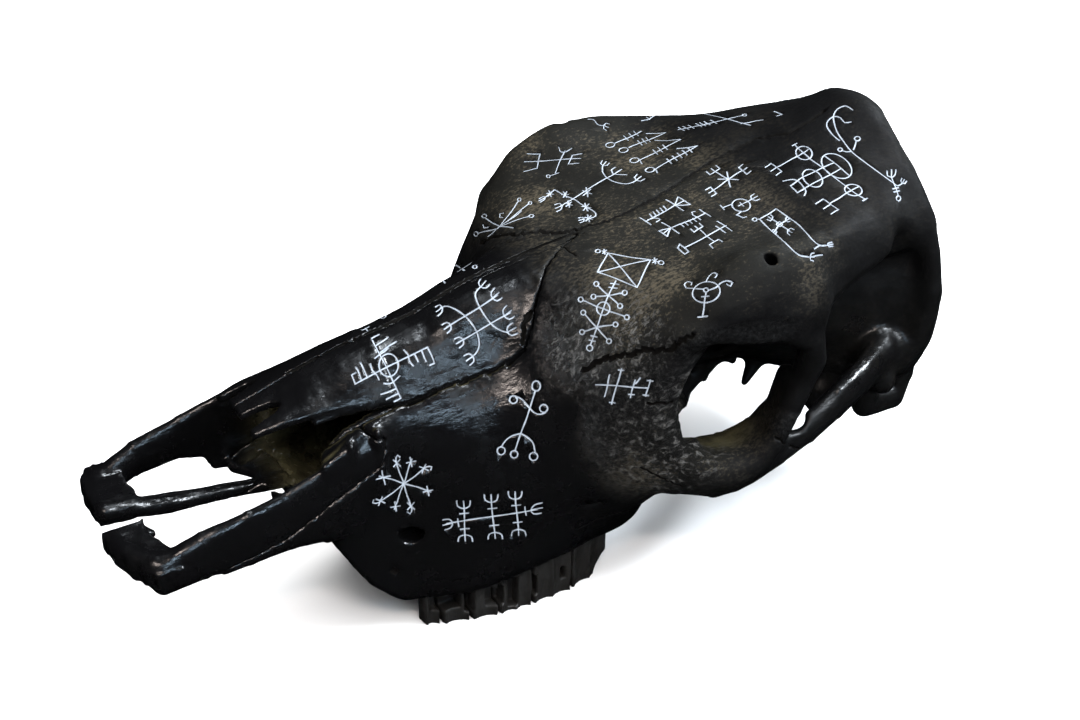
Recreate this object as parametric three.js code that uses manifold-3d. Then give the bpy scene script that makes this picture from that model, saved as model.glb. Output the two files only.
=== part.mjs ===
// A cow skull without its lower jaw, in millimetres, +Z up.
// The snout points along -X, the animal's left side faces -Y, and the skull stands on its cheek teeth.
// The bone is written as a signed distance field, named bone by named bone, on the half where y >= 0.
// The field is mirrored, given what differs between left and right, meshed, thinned and cut at its sutures.

import * as THREE from 'three';
import * as BufferGeometryUtils from 'three/addons/utils/BufferGeometryUtils.js';
import Module from 'manifold-3d';

const wasm = await Module();
wasm.setup();

// Driving dimensions

const SKULL_LENGTH = 440;
const SKULL_HEIGHT = 208;
const HALF_WIDTH = 108;
const SUTURE_GAP = 0.35;
const SOCKET_GAP = 0.35;
const GRID_STEP = 3.2;
const BONE_TRIANGLES = 6300;

// Curves through a few points, without overshoot

function curve(points) {
  const n = points.length;
  const slopes = [];
  for (let i = 0; i < n - 1; i += 1) {
    slopes.push((points[i + 1][1] - points[i][1]) / (points[i + 1][0] - points[i][0]));
  }
  const tangents = [slopes[0]];
  for (let i = 1; i < n - 1; i += 1) {
    const a = slopes[i - 1];
    const b = slopes[i];
    tangents.push(a * b > 0 ? (2 * a * b) / (a + b) : 0);
  }
  tangents.push(slopes[n - 2]);
  return (x) => {
    if (x <= points[0][0]) return points[0][1];
    if (x >= points[n - 1][0]) return points[n - 1][1];
    let i = 0;
    while (points[i + 1][0] < x) i += 1;
    const h = points[i + 1][0] - points[i][0];
    const t = (x - points[i][0]) / h;
    const t2 = t * t;
    const t3 = t2 * t;
    return (2 * t3 - 3 * t2 + 1) * points[i][1] + (t3 - 2 * t2 + t) * h * tangents[i]
      + (3 * t2 - 2 * t3) * points[i + 1][1] + (t3 - t2) * h * tangents[i + 1];
  };
}

// Distance shapes: each has a box [low, high] and a function f(x, y, z) that is negative inside

function ellipsoid(centre, radii) {
  const least = Math.min(...radii);
  const f = (x, y, z) => {
    const u = (x - centre[0]) / radii[0];
    const v = (y - centre[1]) / radii[1];
    const w = (z - centre[2]) / radii[2];
    return (Math.sqrt(u * u + v * v + w * w) - 1) * least;
  };
  return { low: centre.map((c, i) => c - radii[i]), high: centre.map((c, i) => c + radii[i]), f };
}

// A bar through points [x, y, z, half width, half height]
function bar(points) {
  const low = [0, 1, 2].map((i) => Math.min(...points.map((p) => p[i] - Math.max(p[3], p[4]))));
  const high = [0, 1, 2].map((i) => Math.max(...points.map((p) => p[i] + Math.max(p[3], p[4]))));
  const f = (x, y, z) => {
    let best = Infinity;
    for (let i = 0; i < points.length - 1; i += 1) {
      const a = points[i];
      const b = points[i + 1];
      const ex = b[0] - a[0];
      const ey = b[1] - a[1];
      const ez = b[2] - a[2];
      const length2 = ex * ex + ey * ey + ez * ez;
      let t = ((x - a[0]) * ex + (y - a[1]) * ey + (z - a[2]) * ez) / length2;
      t = Math.min(1, Math.max(0, t));
      const width = a[3] + (b[3] - a[3]) * t;
      const height = a[4] + (b[4] - a[4]) * t;
      const least = Math.min(width, height);
      const u = (x - a[0] - ex * t) / least;
      const v = (y - a[1] - ey * t) / width;
      const w = (z - a[2] - ez * t) / height;
      best = Math.min(best, (Math.sqrt(u * u + v * v + w * w) - 1) * least);
    }
    return best;
  };
  return { low, high, f };
}

// A loft along X through half outlines.
// Each station is [x, [[y, z], ...]], from the top middle to the bottom middle.
function loft(stations) {
  const count = stations[0][1].length;
  const lines = [];
  for (let i = 0; i < count; i += 1) {
    lines.push([
      curve(stations.map((s) => [s[0], s[1][i][0]])),
      curve(stations.map((s) => [s[0], s[1][i][1]])),
    ]);
  }
  const start = stations[0][0];
  const end = stations[stations.length - 1][0];
  const smoothSteps = 4;
  const cache = new Map();
  const outlineAt = (x) => {
    const key = Math.round(x * 100);
    if (cache.has(key)) return cache.get(key);
    const p = lines.map(([fy, fz]) => [fy(x), fz(x)]);
    const at = (i) => {
      if (i < 0) return [-p[-i][0], p[-i][1]];
      if (i >= count) return [-p[2 * count - 2 - i][0], p[2 * count - 2 - i][1]];
      return p[i];
    };
    const outline = [];
    for (let i = 0; i < count - 1; i += 1) {
      const [a, b, c, d] = [at(i - 1), at(i), at(i + 1), at(i + 2)];
      for (let s = 0; s < smoothSteps; s += 1) {
        const t = s / smoothSteps;
        outline.push([0, 1].map((k) => 0.5 * (2 * b[k] + (c[k] - a[k]) * t
          + (2 * a[k] - 5 * b[k] + 4 * c[k] - d[k]) * t * t
          + (3 * b[k] - a[k] - 3 * c[k] + d[k]) * t * t * t)));
      }
    }
    outline.push(p[count - 1]);
    cache.set(key, outline);
    return outline;
  };
  const f = (x, y, z) => {
    const outline = outlineAt(Math.min(end, Math.max(start, x)));
    let nearest = Infinity;
    let inside = false;
    for (let i = 0; i < outline.length; i += 1) {
      const a = outline[i];
      const b = outline[(i + 1) % outline.length];
      const crosses = (a[1] > z) !== (b[1] > z);
      if (crosses && y < a[0] + (b[0] - a[0]) * (z - a[1]) / (b[1] - a[1])) inside = !inside;
      if (i === outline.length - 1) continue;
      const ey = b[0] - a[0];
      const ez = b[1] - a[1];
      const t = Math.min(1, Math.max(0, ((y - a[0]) * ey + (z - a[1]) * ez) / (ey * ey + ez * ez + 1e-9)));
      const dy = y - a[0] - ey * t;
      const dz = z - a[1] - ez * t;
      nearest = Math.min(nearest, dy * dy + dz * dz);
    }
    const side = inside ? -Math.sqrt(nearest) : Math.sqrt(nearest);
    const beyond = Math.max(start - x, x - end);
    return Math.max(side, beyond);
  };
  const all = stations.flatMap((s) => s[1]);
  const low = [start, 0, Math.min(...all.map((p) => p[1]))];
  const high = [end, Math.max(...all.map((p) => p[0])), Math.max(...all.map((p) => p[1]))];
  return { low, high, f };
}

function block(low, high) {
  const f = (x, y, z) => Math.max(low[0] - x, x - high[0], low[1] - y, y - high[1], low[2] - z, z - high[2]);
  return { low, high, f };
}

// The sampled field. The half field has y >= 0 only.

class Field {
  constructor(low, high, step) {
    this.low = low;
    this.step = step;
    this.size = low.map((v, i) => Math.ceil((high[i] - v) / step) + 1);
    this.values = new Float32Array(this.size[0] * this.size[1] * this.size[2]).fill(1000);
  }

  index(i, j, k) {
    return (i * this.size[1] + j) * this.size[2] + k;
  }

  each(shape, reach, change) {
    const from = shape.low.map((v, i) => Math.max(0, Math.floor((v - reach - this.low[i]) / this.step)));
    const to = shape.high.map((v, i) => {
      const last = Math.ceil((v + reach - this.low[i]) / this.step);
      return Math.min(this.size[i] - 1, last);
    });
    for (let i = from[0]; i <= to[0]; i += 1) {
      for (let j = from[1]; j <= to[1]; j += 1) {
        for (let k = from[2]; k <= to[2]; k += 1) {
          const at = this.index(i, j, k);
          const [x, y, z] = [i, j, k].map((n, axis) => this.low[axis] + n * this.step);
          this.values[at] = change(this.values[at], shape.f(x, y, z));
        }
      }
    }
  }

  add(shape, blend = 4) {
    this.each(shape, blend + 3 * this.step, (a, b) => {
      const h = Math.max(blend - Math.abs(a - b), 0) / blend;
      return Math.min(a, b) - h * h * blend * 0.25;
    });
  }

  cut(shape, blend = 2) {
    this.each(shape, blend + 3 * this.step, (a, d) => {
      const b = -d;
      const h = Math.max(blend - Math.abs(a - b), 0) / blend;
      return Math.max(a, b) + h * h * blend * 0.25;
    });
  }

  mirrored() {
    const half = this.size[1] - 1;
    const whole = new Field([this.low[0], -half * this.step, this.low[2]], [0, 0, 0], this.step);
    whole.size = [this.size[0], 2 * half + 1, this.size[2]];
    whole.values = new Float32Array(whole.size[0] * whole.size[1] * whole.size[2]);
    for (let i = 0; i < whole.size[0]; i += 1) {
      for (let j = 0; j < whole.size[1]; j += 1) {
        const from = this.index(i, Math.abs(j - half), 0);
        const to = whole.index(i, j, 0);
        whole.values.set(this.values.subarray(from, from + this.size[2]), to);
      }
    }
    return whole;
  }
}

// The bones, on the half where y >= 0

const face = loft([
  [100, [[0, 138], [12, 134], [22, 128], [31, 118], [36, 105], [37, 94],
    [36, 79], [33, 67], [29, 66], [20, 70], [0, 72]]],
  [122, [[0, 145], [13, 141], [24, 128], [33, 117], [37, 100], [38, 86],
    [38, 66], [38, 33], [31, 33], [23, 52], [0, 60]]],
  [140, [[0, 148], [14, 143], [26, 127], [35, 114], [39, 94], [41, 72],
    [42, 46], [42, 20.5], [31, 20.5], [24, 42], [0, 48]]],
  [165, [[0, 152], [15, 147], [28, 129], [40, 113], [47, 93], [51, 72],
    [53, 48], [53, 21], [35, 21], [27, 36], [0, 42]]],
  [190, [[0, 160], [16, 155], [30, 132], [45, 116], [54, 96], [60, 75],
    [61, 52], [57, 24], [37, 24], [28, 34], [0, 40]]],
  [215, [[0, 165], [18, 161], [35, 143], [55, 126], [65, 106], [70, 86],
    [65, 56], [57, 26], [37, 26], [28, 34], [0, 40]]],
  [240, [[0, 168], [24, 166], [52, 156], [73, 144], [82, 124], [84, 101],
    [74, 62], [54, 28], [35, 28], [26, 36], [0, 42]]],
  [256, [[0, 168], [30, 167], [60, 162], [83, 154], [89, 132], [89, 106],
    [82, 68], [52, 36], [33, 38], [22, 44], [0, 46]]],
  [270, [[0, 170], [30, 169], [62, 168], [87, 162], [90, 134], [90, 106],
    [85, 70], [50, 50], [32, 46], [21, 48], [0, 50]]],
  [290, [[0, 172], [30, 171], [60, 168], [80, 160], [74, 134], [64, 108],
    [52, 86], [36, 68], [28, 62], [20, 62], [0, 64]]],
]);

const forehead = loft([
  [226, [[0, 163], [20, 161], [34, 154], [42, 148], [38, 144], [20, 146], [0, 148]]],
  [244, [[0, 168], [30, 167], [56, 160], [72, 150], [68, 142], [32, 148], [0, 148]]],
  [262, [[0, 170], [34, 169], [65, 167], [84, 165], [90, 150], [38, 148], [0, 146]]],
  [280, [[0, 173], [35, 172], [64, 172], [89, 178], [97, 156], [40, 147], [0, 146]]],
  [302, [[0, 177], [35, 176], [62, 177], [89, 185], [101, 153], [42, 146], [0, 146]]],
  [325, [[0, 180], [35, 178], [62, 177], [90, 183.5], [101, 146], [46, 146], [0, 146]]],
  [345, [[0, 184], [35, 182], [62, 178], [86, 181], [94, 148], [50, 145], [0, 146]]],
  [370, [[0, 189], [35, 188], [60, 183], [80, 176], [86, 153], [50, 140], [0, 146]]],
  [400, [[0, 195], [35, 191], [58, 183], [74, 171], [78, 155], [50, 140], [0, 146]]],
  [424, [[0, 200], [25, 194], [46, 186], [64, 171], [71, 155], [50, 140], [0, 146]]],
  [434, [[0, 198], [20, 193], [40, 184], [58, 168], [66, 155], [50, 140], [0, 146]]],
]);

const braincase = loft([
  [262, [[0, 152], [20, 150], [25, 132], [24, 108], [22, 86], [19, 66], [0, 60]]],
  [290, [[0, 152], [22, 150], [28, 134], [27, 112], [24, 94], [20, 76], [0, 72]]],
  [315, [[0, 152], [28, 150], [36, 136], [36, 114], [31, 98], [22, 86], [0, 82]]],
  [340, [[0, 152], [32, 150], [44, 138], [46, 118], [41, 102], [26, 88], [0, 80]]],
  [370, [[0, 152], [36, 150], [51, 138], [54, 116], [50, 96], [34, 76], [0, 68]]],
  [405, [[0, 152], [42, 150], [60, 138], [65, 112], [62, 84], [44, 62], [0, 56]]],
  [430, [[0, 170], [45, 160], [70, 138], [75, 112], [70, 78], [48, 60], [0, 54]]],
]);

const orbitRim = bar([
  [262, 88, 152, 5, 5], [258, 85, 139, 5, 5], [253, 84, 127, 5, 5], [246, 83, 117, 5, 5], [250, 86, 104, 5, 5],
  [261, 90, 89, 5, 6], [278, 94, 73.5, 5, 6], [293, 95, 69.5, 5, 6], [305, 95, 72, 5, 5], [314, 96, 83, 5, 5],
  [320, 96, 95, 5, 5], [328, 97, 110, 5, 5], [333, 99, 125, 5, 5], [328, 100, 137, 5, 5],
  [313, 99, 145, 4, 4], [294, 97, 149, 4, 4], [276, 93, 152, 4, 4],
  [262, 88, 152, 5, 5],
]);

const postorbitalPlate = bar([
  [322, 97, 152, 7, 9], [332, 95, 150, 7, 12], [334, 96, 137, 4.5, 8], [331, 97, 124, 4, 4],
]);

const zygomaticArch = bar([
  [250, 74, 84, 12, 14], [266, 82, 74, 10, 13], [284, 88, 67, 8, 12], [303, 91, 67, 6, 9],
  [322, 91, 71, 5, 8], [342, 89, 77, 5, 9],
  [362, 86, 84, 5, 10], [384, 79, 89, 6, 10], [404, 70, 91, 7, 11],
]);

const orbitFloor = bar([
  [264, 74, 83, 13, 7], [282, 78, 75.5, 16, 5], [300, 81, 75, 15, 4.5], [314, 84, 82, 12, 4],
  [324, 87, 94, 9, 5], [327, 88, 112, 7, 5],
]);
const templeRoot = ellipsoid([407, 66, 88], [16, 10, 11]);
const earTube = bar([[402, 60, 76, 8, 8], [402, 76, 78, 6, 6]]);
const bulla = ellipsoid([392, 42, 58], [13, 9, 13]);
const condyle = ellipsoid([427, 24, 70], [13, 11, 18]);
const paracondylar = bar([
  [405, 60, 74, 7, 14], [405, 60, 55.5, 6.5, 8], [426, 60, 54, 6, 8], [431, 60, 70, 6, 10],
]);
const skullBase = bar([[300, 0, 82, 11, 5], [340, 0, 84, 10, 5], [380, 0, 69, 12, 5], [425, 0, 58, 15, 5]]);
const poll = bar([[400, 0, 180, 22, 13], [427, 0, 191, 20, 15]]);
const nuchalCrest = bar([
  [429, 0, 196, 6, 6], [430, 12, 195, 6, 6], [430, 24, 188.5, 6, 6], [428, 45, 177, 6, 6],
  [427, 63, 164, 5, 5], [428, 73, 146, 5, 5],
  [429, 76, 124, 5, 5], [426, 73, 98, 6, 6], [419, 67, 80, 7, 7],
]);
const nuchalDish = ellipsoid([459, 0, 140], [28, 60, 46]);
const nuchalKnob = bar([[428, 0, 158, 6, 7], [430, 0, 138, 4, 8]]);
const pterygoidPlate = bar([
  [262, 20, 56, 3, 14], [282, 20, 62, 2.6, 14], [300, 21, 68, 2.6, 13], [314, 22, 74, 3, 12],
  [326, 22, 83, 3, 9], [338, 21, 89, 3, 5],
]);
const pterygoidSpike = bar([
  [368, 18, 84, 5, 6], [360, 21, 75, 4.5, 5], [352, 24, 67, 2.2, 2.2],
]);
const alveolarTuber = ellipsoid([252, 45, 42], [18, 14, 16]);

const orbitHollow = bar([
  [285, 132, 118, 37, 35], [292, 98, 115, 34, 33], [303, 72, 115, 29, 29], [314, 50, 112, 20, 20],
  [324, 34, 106, 9, 9],
]);
const templeHollow = bar([[346, 84, 118, 20, 24], [372, 78, 124, 18, 22], [394, 77, 132, 13, 21], [406, 80, 148, 12, 19]]);
const undercutBehindMolars = bar([[286, 46, 40, 20, 20], [300, 56, 52, 24, 22], [316, 60, 70, 24, 20]]);

const nasalPlate = loft([
  [71, [[0, 131], [5, 130.5], [14, 128.5], [20, 126.5], [19.5, 123], [10, 126], [0, 127]]],
  [88, [[0, 136], [6, 135.5], [14, 133], [22, 129.5], [21, 125.5], [10, 130], [0, 131.5]]],
  [104, [[0, 141], [7, 140], [15, 136.5], [23, 130], [21.5, 126], [10, 133], [0, 136]]],
  [122, [[0, 145], [8, 143.5], [16, 139], [25, 128.5], [22, 126], [10, 136], [0, 140]]],
  [140, [[0, 148], [8, 146.5], [17, 141], [27, 126], [23, 125], [10, 139], [0, 142]]],
]);
const nasalNotch = bar([
  [58, 12, 134, 7, 12], [76, 12, 134, 4.6, 12], [84, 12, 134, 3, 12], [88, 12, 134, 1, 12],
]);
const nasalHollow = loft([
  [50, [[0, 128], [12, 125], [21, 118], [27, 108], [29, 94], [28, 74], [16, 56], [0, 50]]],
  [100, [[0, 133], [12, 129], [20, 121], [27, 110], [30, 95], [29, 80], [17, 78], [0, 78]]],
  [122, [[0, 140], [12, 135], [21, 123], [29, 110], [31, 94], [29, 78], [20, 66], [0, 65]]],
  [140, [[0, 143], [12, 138], [22, 123], [31, 110], [33, 92], [29, 72], [21, 56], [0, 54]]],
  [165, [[0, 147], [13, 141], [24, 125], [33, 109], [36, 90], [30, 70], [22, 52], [0, 48]]],
  [190, [[0, 154], [14, 148], [25, 129], [35, 112], [38, 92], [31, 70], [22, 51], [0, 46]]],
  [215, [[0, 158], [16, 151], [27, 134], [36, 117], [39, 96], [30, 70], [21, 51], [0, 46]]],
  [240, [[0, 156], [15, 150], [24, 134], [30, 118], [31, 96], [25, 68], [19, 51], [0, 48]]],
  [262, [[0, 148], [12, 143], [19, 130], [21, 112], [20, 92], [17, 68], [14, 50], [0, 48]]],
  [292, [[0, 136], [8, 132], [13, 120], [15, 108], [14, 98], [12, 90], [8, 86], [0, 84]]],
]);
const cheekSinus = ellipsoid([254, 58, 120], [13, 22, 30]);
const deepSinus = ellipsoid([274, 38, 114], [19, 24, 32]);
const choana = block([254, -1, 20], [330, 14, 78]);
const sinus = loft([
  [234, [[0, 152], [8, 151], [13, 149], [14, 147], [13, 144], [10, 142], [0, 142]]],
  [258, [[0, 163], [30, 162], [52, 159], [66, 153], [60, 149], [30, 152], [0, 153]]],
  [280, [[0, 167], [35, 166], [66, 166], [85, 172], [89, 160], [42, 153], [0, 152]]],
  [302, [[0, 171], [35, 170], [64, 172], [86, 182], [94, 158], [44, 152], [0, 152]]],
  [325, [[0, 174], [35, 172], [64, 171], [86, 181], [94, 153], [48, 152], [0, 152]]],
  [345, [[0, 178], [35, 176], [64, 172], [81, 174], [87, 154], [50, 150], [0, 152]]],
  [370, [[0, 183.5], [35, 181.5], [60, 175], [75, 168], [80, 155], [50, 147], [0, 152]]],
  [400, [[0, 191], [35, 185.5], [55, 175], [61, 166], [61, 157], [48, 147], [0, 152]]],
  [426, [[0, 196], [22, 192], [40, 179], [49, 165], [51, 157], [44, 149], [0, 152]]],
]);
const brainHollow = loft([
  [300, [[0, 140], [8, 139], [14, 132], [16, 120], [14, 110], [8, 103], [0, 101]]],
  [318, [[0, 143], [12, 142], [22, 134], [25, 120], [22, 108], [12, 99], [0, 96]]],
  [340, [[0, 146], [29, 145], [39, 134], [41, 118], [36, 105], [22, 95], [0, 90]]],
  [370, [[0, 147], [33, 146], [46, 134], [49, 116], [45, 99], [30, 82], [0, 75]]],
  [402, [[0, 147], [39, 145], [55, 134], [60, 112], [57, 89], [39, 68], [0, 62]]],
  [425, [[0, 147], [42, 145], [62, 133], [67, 112], [62, 88], [37, 71], [0, 65]]],
]);
const foramenMagnum = bar([[414, 0, 92, 15, 14], [450, 0, 88, 16, 15]]);

const supraorbitalForamen = bar([[305, 92, 190, 3.4, 3.4], [311, 88, 175, 3, 3], [316, 84, 166, 3, 3]]);
const infraorbitalForamen = bar([[127, 47, 61.5, 5, 4.5], [141, 39, 57, 4.5, 4], [151, 36, 57, 4, 4]]);
const orbitDrain = bar([[267, 85, 98, 6, 6], [277, 72, 91, 9, 6], [284, 60, 84, 9, 8], [296, 42, 66, 9, 9]]);
const archWindow = bar([[329, 106, 92.5, 8, 5.5], [330, 90, 86, 8, 5.5], [345, 72, 75, 9, 7]]);
const noseWedge = bar([
  [98, 40, 117, 24, 9], [112, 40, 121, 24, 5], [125, 40, 122.5, 24, 2.8], [138, 40, 123, 24, 0.8],
]);
const palateFront = bar([[96, 18, 79, 17, 3], [86, 16, 79.5, 14, 2.6], [79, 26, 80, 8, 2.6]]);
const spikeRoot = bar([[338, 20, 91, 4, 4], [343, 24, 83, 2, 2]]);

function skullHalf() {
  const field = new Field([-6, 0, -4], [SKULL_LENGTH + 6, HALF_WIDTH + 4, SKULL_HEIGHT + 6], GRID_STEP);
  field.add(face, 1);
  field.add(forehead, 5);
  field.add(braincase, 8);
  field.add(alveolarTuber, 10);
  field.add(poll, 14);
  field.add(skullBase, 6);
  field.cut(orbitHollow, 4);
  field.cut(undercutBehindMolars, 6);
  field.cut(templeHollow, 6);
  field.add(orbitFloor, 8);
  field.add(orbitRim, 7);
  field.add(postorbitalPlate, 9);
  field.add(zygomaticArch, 8);
  field.add(nuchalCrest, 10);
  field.cut(nuchalDish, 8);
  field.add(nuchalKnob, 8);
  field.add(templeRoot, 8);
  field.add(earTube, 6);
  field.add(bulla, 6);
  field.add(paracondylar, 6);
  field.add(condyle, 6);
  field.cut(nasalHollow, 2);
  field.cut(cheekSinus, 2);
  field.cut(deepSinus, 2);
  field.add(nasalPlate, 2);
  field.cut(nasalNotch, 1);
  field.add(pterygoidPlate, 4);
  field.cut(choana, 2);
  field.add(pterygoidSpike, 4);
  field.add(spikeRoot, 4);
  field.add(palateFront, 2);
  field.cut(brainHollow, 2);
  field.cut(foramenMagnum, 3);
  field.cut(sinus, 2);
  field.cut(supraorbitalForamen, 1);
  field.cut(infraorbitalForamen, 2);
  field.cut(orbitDrain, 3);
  field.cut(archWindow, 2);
  field.cut(noseWedge, 1);
  return field;
}

// The incisive bars and their front plates: these differ between right (+y) and left (-y)

const rightBar = bar([
  [16, 34, 89, 5.5, 8], [34, 37, 94, 4.5, 10], [58, 38, 98, 4.5, 12], [84, 37, 98, 4.5, 19],
  [108, 36, 97, 4, 26], [126, 36, 96, 4, 28],
]);
const rightFront = bar([
  [12, 34, 89, 5.5, 7.5], [8, 24, 89, 5, 6], [7, 9, 91, 5, 4.5], [20, 10, 88.5, 5, 4.5], [21, 20, 88, 5, 4.5],
  [20, 31, 89, 5, 6], [12, 34, 89, 5.5, 7.5],
]);
const rightProcess = bar([
  [7, 8, 91, 5, 4.5], [34, 8, 85, 5, 4.5], [70, 8, 80.5, 4, 4], [96, 7, 77, 3.5, 4],
]);
const leftBar = bar([
  [16, -36, 79.5, 6.5, 10], [36, -36, 82.5, 5.5, 12.5], [58, -37, 85.5, 5, 14], [80, -36, 88, 4.5, 15],
  [98, -36, 90, 4, 20], [112, -36, 91, 4, 25], [126, -36, 93.5, 4, 27],
]);
const leftFront = bar([
  [2.6, -14, 89.5, 5, 4.5], [4.2, -24, 87, 6, 6], [12, -33, 83, 7, 8], [20, -34, 81, 6, 8],
  [17, -24, 86, 5, 5], [12, -14, 88, 5, 4], [2.6, -14, 89.5, 5, 4.5],
]);
const rightPlate = bar([[13, 14, 88.5, 5, 4.2], [14, 28, 88.5, 5, 5.4]]);
const leftPlate = bar([[10, -18, 87.5, 5, 4.4], [14, -29, 83, 6, 7]]);
const leftStub = bar([[8, -13, 89, 4, 4], [17, -11, 88, 3.2, 3], [21, -13, 86, 2, 2]]);
const INCISIVE_SHAPES = [
  rightBar, rightFront, rightPlate, rightProcess, leftBar, leftFront, leftPlate, leftStub,
];
const maxillaRostrumRight = bar([[74, 36, 82, 2.6, 6], [92, 36, 84, 3, 11], [112, 36, 84, 4, 16]]);
const maxillaRostrumLeft = bar([[46, -36, 74, 2.6, 4], [80, -36, 77, 3, 6], [112, -36, 82, 4, 16]]);

function wholeSkull() {
  const field = skullHalf().mirrored();
  for (const shape of INCISIVE_SHAPES) field.add(shape, 3);
  for (const shape of [maxillaRostrumRight, maxillaRostrumLeft]) field.add(shape, 4);
  return field;
}

// Marching tetrahedra: six around the main diagonal of each cell, so the surface is always closed

const CORNERS = [[0, 0, 0], [1, 0, 0], [0, 1, 0], [1, 1, 0], [0, 0, 1], [1, 0, 1], [0, 1, 1], [1, 1, 1]];
const TETRAHEDRA = [[0, 1, 3, 7], [0, 3, 2, 7], [0, 2, 6, 7], [0, 6, 4, 7], [0, 4, 5, 7], [0, 5, 1, 7]];

function surfaceOf(field) {
  const [nx, ny, nz] = field.size;
  const total = nx * ny * nz;
  const vertexOf = new Map();
  const positions = [];
  const triangles = [];
  const place = (index) => {
    const k = index % nz;
    const j = Math.floor(index / nz) % ny;
    const i = Math.floor(index / (nz * ny));
    return [field.low[0] + i * field.step, field.low[1] + j * field.step, field.low[2] + k * field.step];
  };
  const crossing = (a, b) => {
    const key = a < b ? a * total + b : b * total + a;
    if (vertexOf.has(key)) return vertexOf.get(key);
    const [first, second] = a < b ? [a, b] : [b, a];
    const va = field.values[first];
    const vb = field.values[second];
    const t = Math.min(0.94, Math.max(0.06, va / (va - vb)));
    const pa = place(first);
    const pb = place(second);
    positions.push([0, 1, 2].map((i) => pa[i] + (pb[i] - pa[i]) * t));
    vertexOf.set(key, positions.length - 1);
    return positions.length - 1;
  };
  for (let i = 0; i < nx - 1; i += 1) {
    for (let j = 0; j < ny - 1; j += 1) {
      for (let k = 0; k < nz - 1; k += 1) {
        const corner = CORNERS.map(([a, b, c]) => field.index(i + a, j + b, k + c));
        const solidCorners = corner.filter((at) => field.values[at] < 0).length;
        if (solidCorners === 0 || solidCorners === 8) continue;
        for (const tetrahedron of TETRAHEDRA) {
          const solid = [];
          const open = [];
          for (const c of tetrahedron) (field.values[corner[c]] < 0 ? solid : open).push(c);
          if (solid.length === 0 || open.length === 0) continue;
          const odd = permutationIsOdd([...solid, ...open], tetrahedron);
          const at = (a, b) => crossing(corner[a], corner[b]);
          const emit = (a, b, c) => triangles.push(odd ? [a, c, b] : [a, b, c]);
          if (solid.length === 1) {
            emit(at(solid[0], open[0]), at(solid[0], open[1]), at(solid[0], open[2]));
          } else if (solid.length === 3) {
            emit(at(solid[0], open[0]), at(solid[1], open[0]), at(solid[2], open[0]));
          } else {
            const [p, q, r, s] = [
              at(solid[0], open[0]), at(solid[0], open[1]), at(solid[1], open[1]), at(solid[1], open[0])];
            emit(p, q, r);
            emit(p, r, s);
          }
        }
      }
    }
  }
  return { positions, triangles };
}

function permutationIsOdd(order, reference) {
  let swaps = 0;
  for (let i = 0; i < order.length; i += 1) {
    for (let j = i + 1; j < order.length; j += 1) {
      if (reference.indexOf(order[i]) > reference.indexOf(order[j])) swaps += 1;
    }
  }
  return swaps % 2 === 1;
}

// Keeps the largest connected shell of a mesh

function largestShell({ positions, triangles }) {
  const parent = positions.map((_, i) => i);
  const root = (i) => {
    let r = i;
    while (parent[r] !== r) {
      parent[r] = parent[parent[r]];
      r = parent[r];
    }
    return r;
  };
  for (const [a, b, c] of triangles) {
    parent[root(a)] = root(b);
    parent[root(b)] = root(c);
  }
  const counts = new Map();
  for (const [a] of triangles) counts.set(root(a), (counts.get(root(a)) ?? 0) + 1);
  const largest = [...counts.entries()].sort((p, q) => q[1] - p[1])[0][0];
  return { positions, triangles: triangles.filter(([a]) => root(a) === largest) };
}

// Thins a closed mesh by collapsing the edges whose removal changes the shape least

class Heap {
  constructor() {
    this.items = [];
  }

  push(item) {
    const items = this.items;
    items.push(item);
    let i = items.length - 1;
    while (i > 0) {
      const up = (i - 1) >> 1;
      if (items[up].cost <= items[i].cost) break;
      [items[up], items[i]] = [items[i], items[up]];
      i = up;
    }
  }

  pop() {
    const items = this.items;
    const top = items[0];
    const last = items.pop();
    if (items.length > 0) {
      items[0] = last;
      let i = 0;
      for (;;) {
        const left = 2 * i + 1;
        const right = left + 1;
        let least = i;
        if (left < items.length && items[left].cost < items[least].cost) least = left;
        if (right < items.length && items[right].cost < items[least].cost) least = right;
        if (least === i) break;
        [items[least], items[i]] = [items[i], items[least]];
        i = least;
      }
    }
    return top;
  }
}

const minus = (a, b) => [a[0] - b[0], a[1] - b[1], a[2] - b[2]];
const cross = (a, b) => [a[1] * b[2] - a[2] * b[1], a[2] * b[0] - a[0] * b[2], a[0] * b[1] - a[1] * b[0]];
const dot = (a, b) => a[0] * b[0] + a[1] * b[1] + a[2] * b[2];
const distance = (a, b) => Math.sqrt((a[0] - b[0]) ** 2 + (a[1] - b[1]) ** 2 + (a[2] - b[2]) ** 2);
const longestSide = (t) => Math.max(distance(t[0], t[1]), distance(t[1], t[2]), distance(t[2], t[0]));

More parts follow.
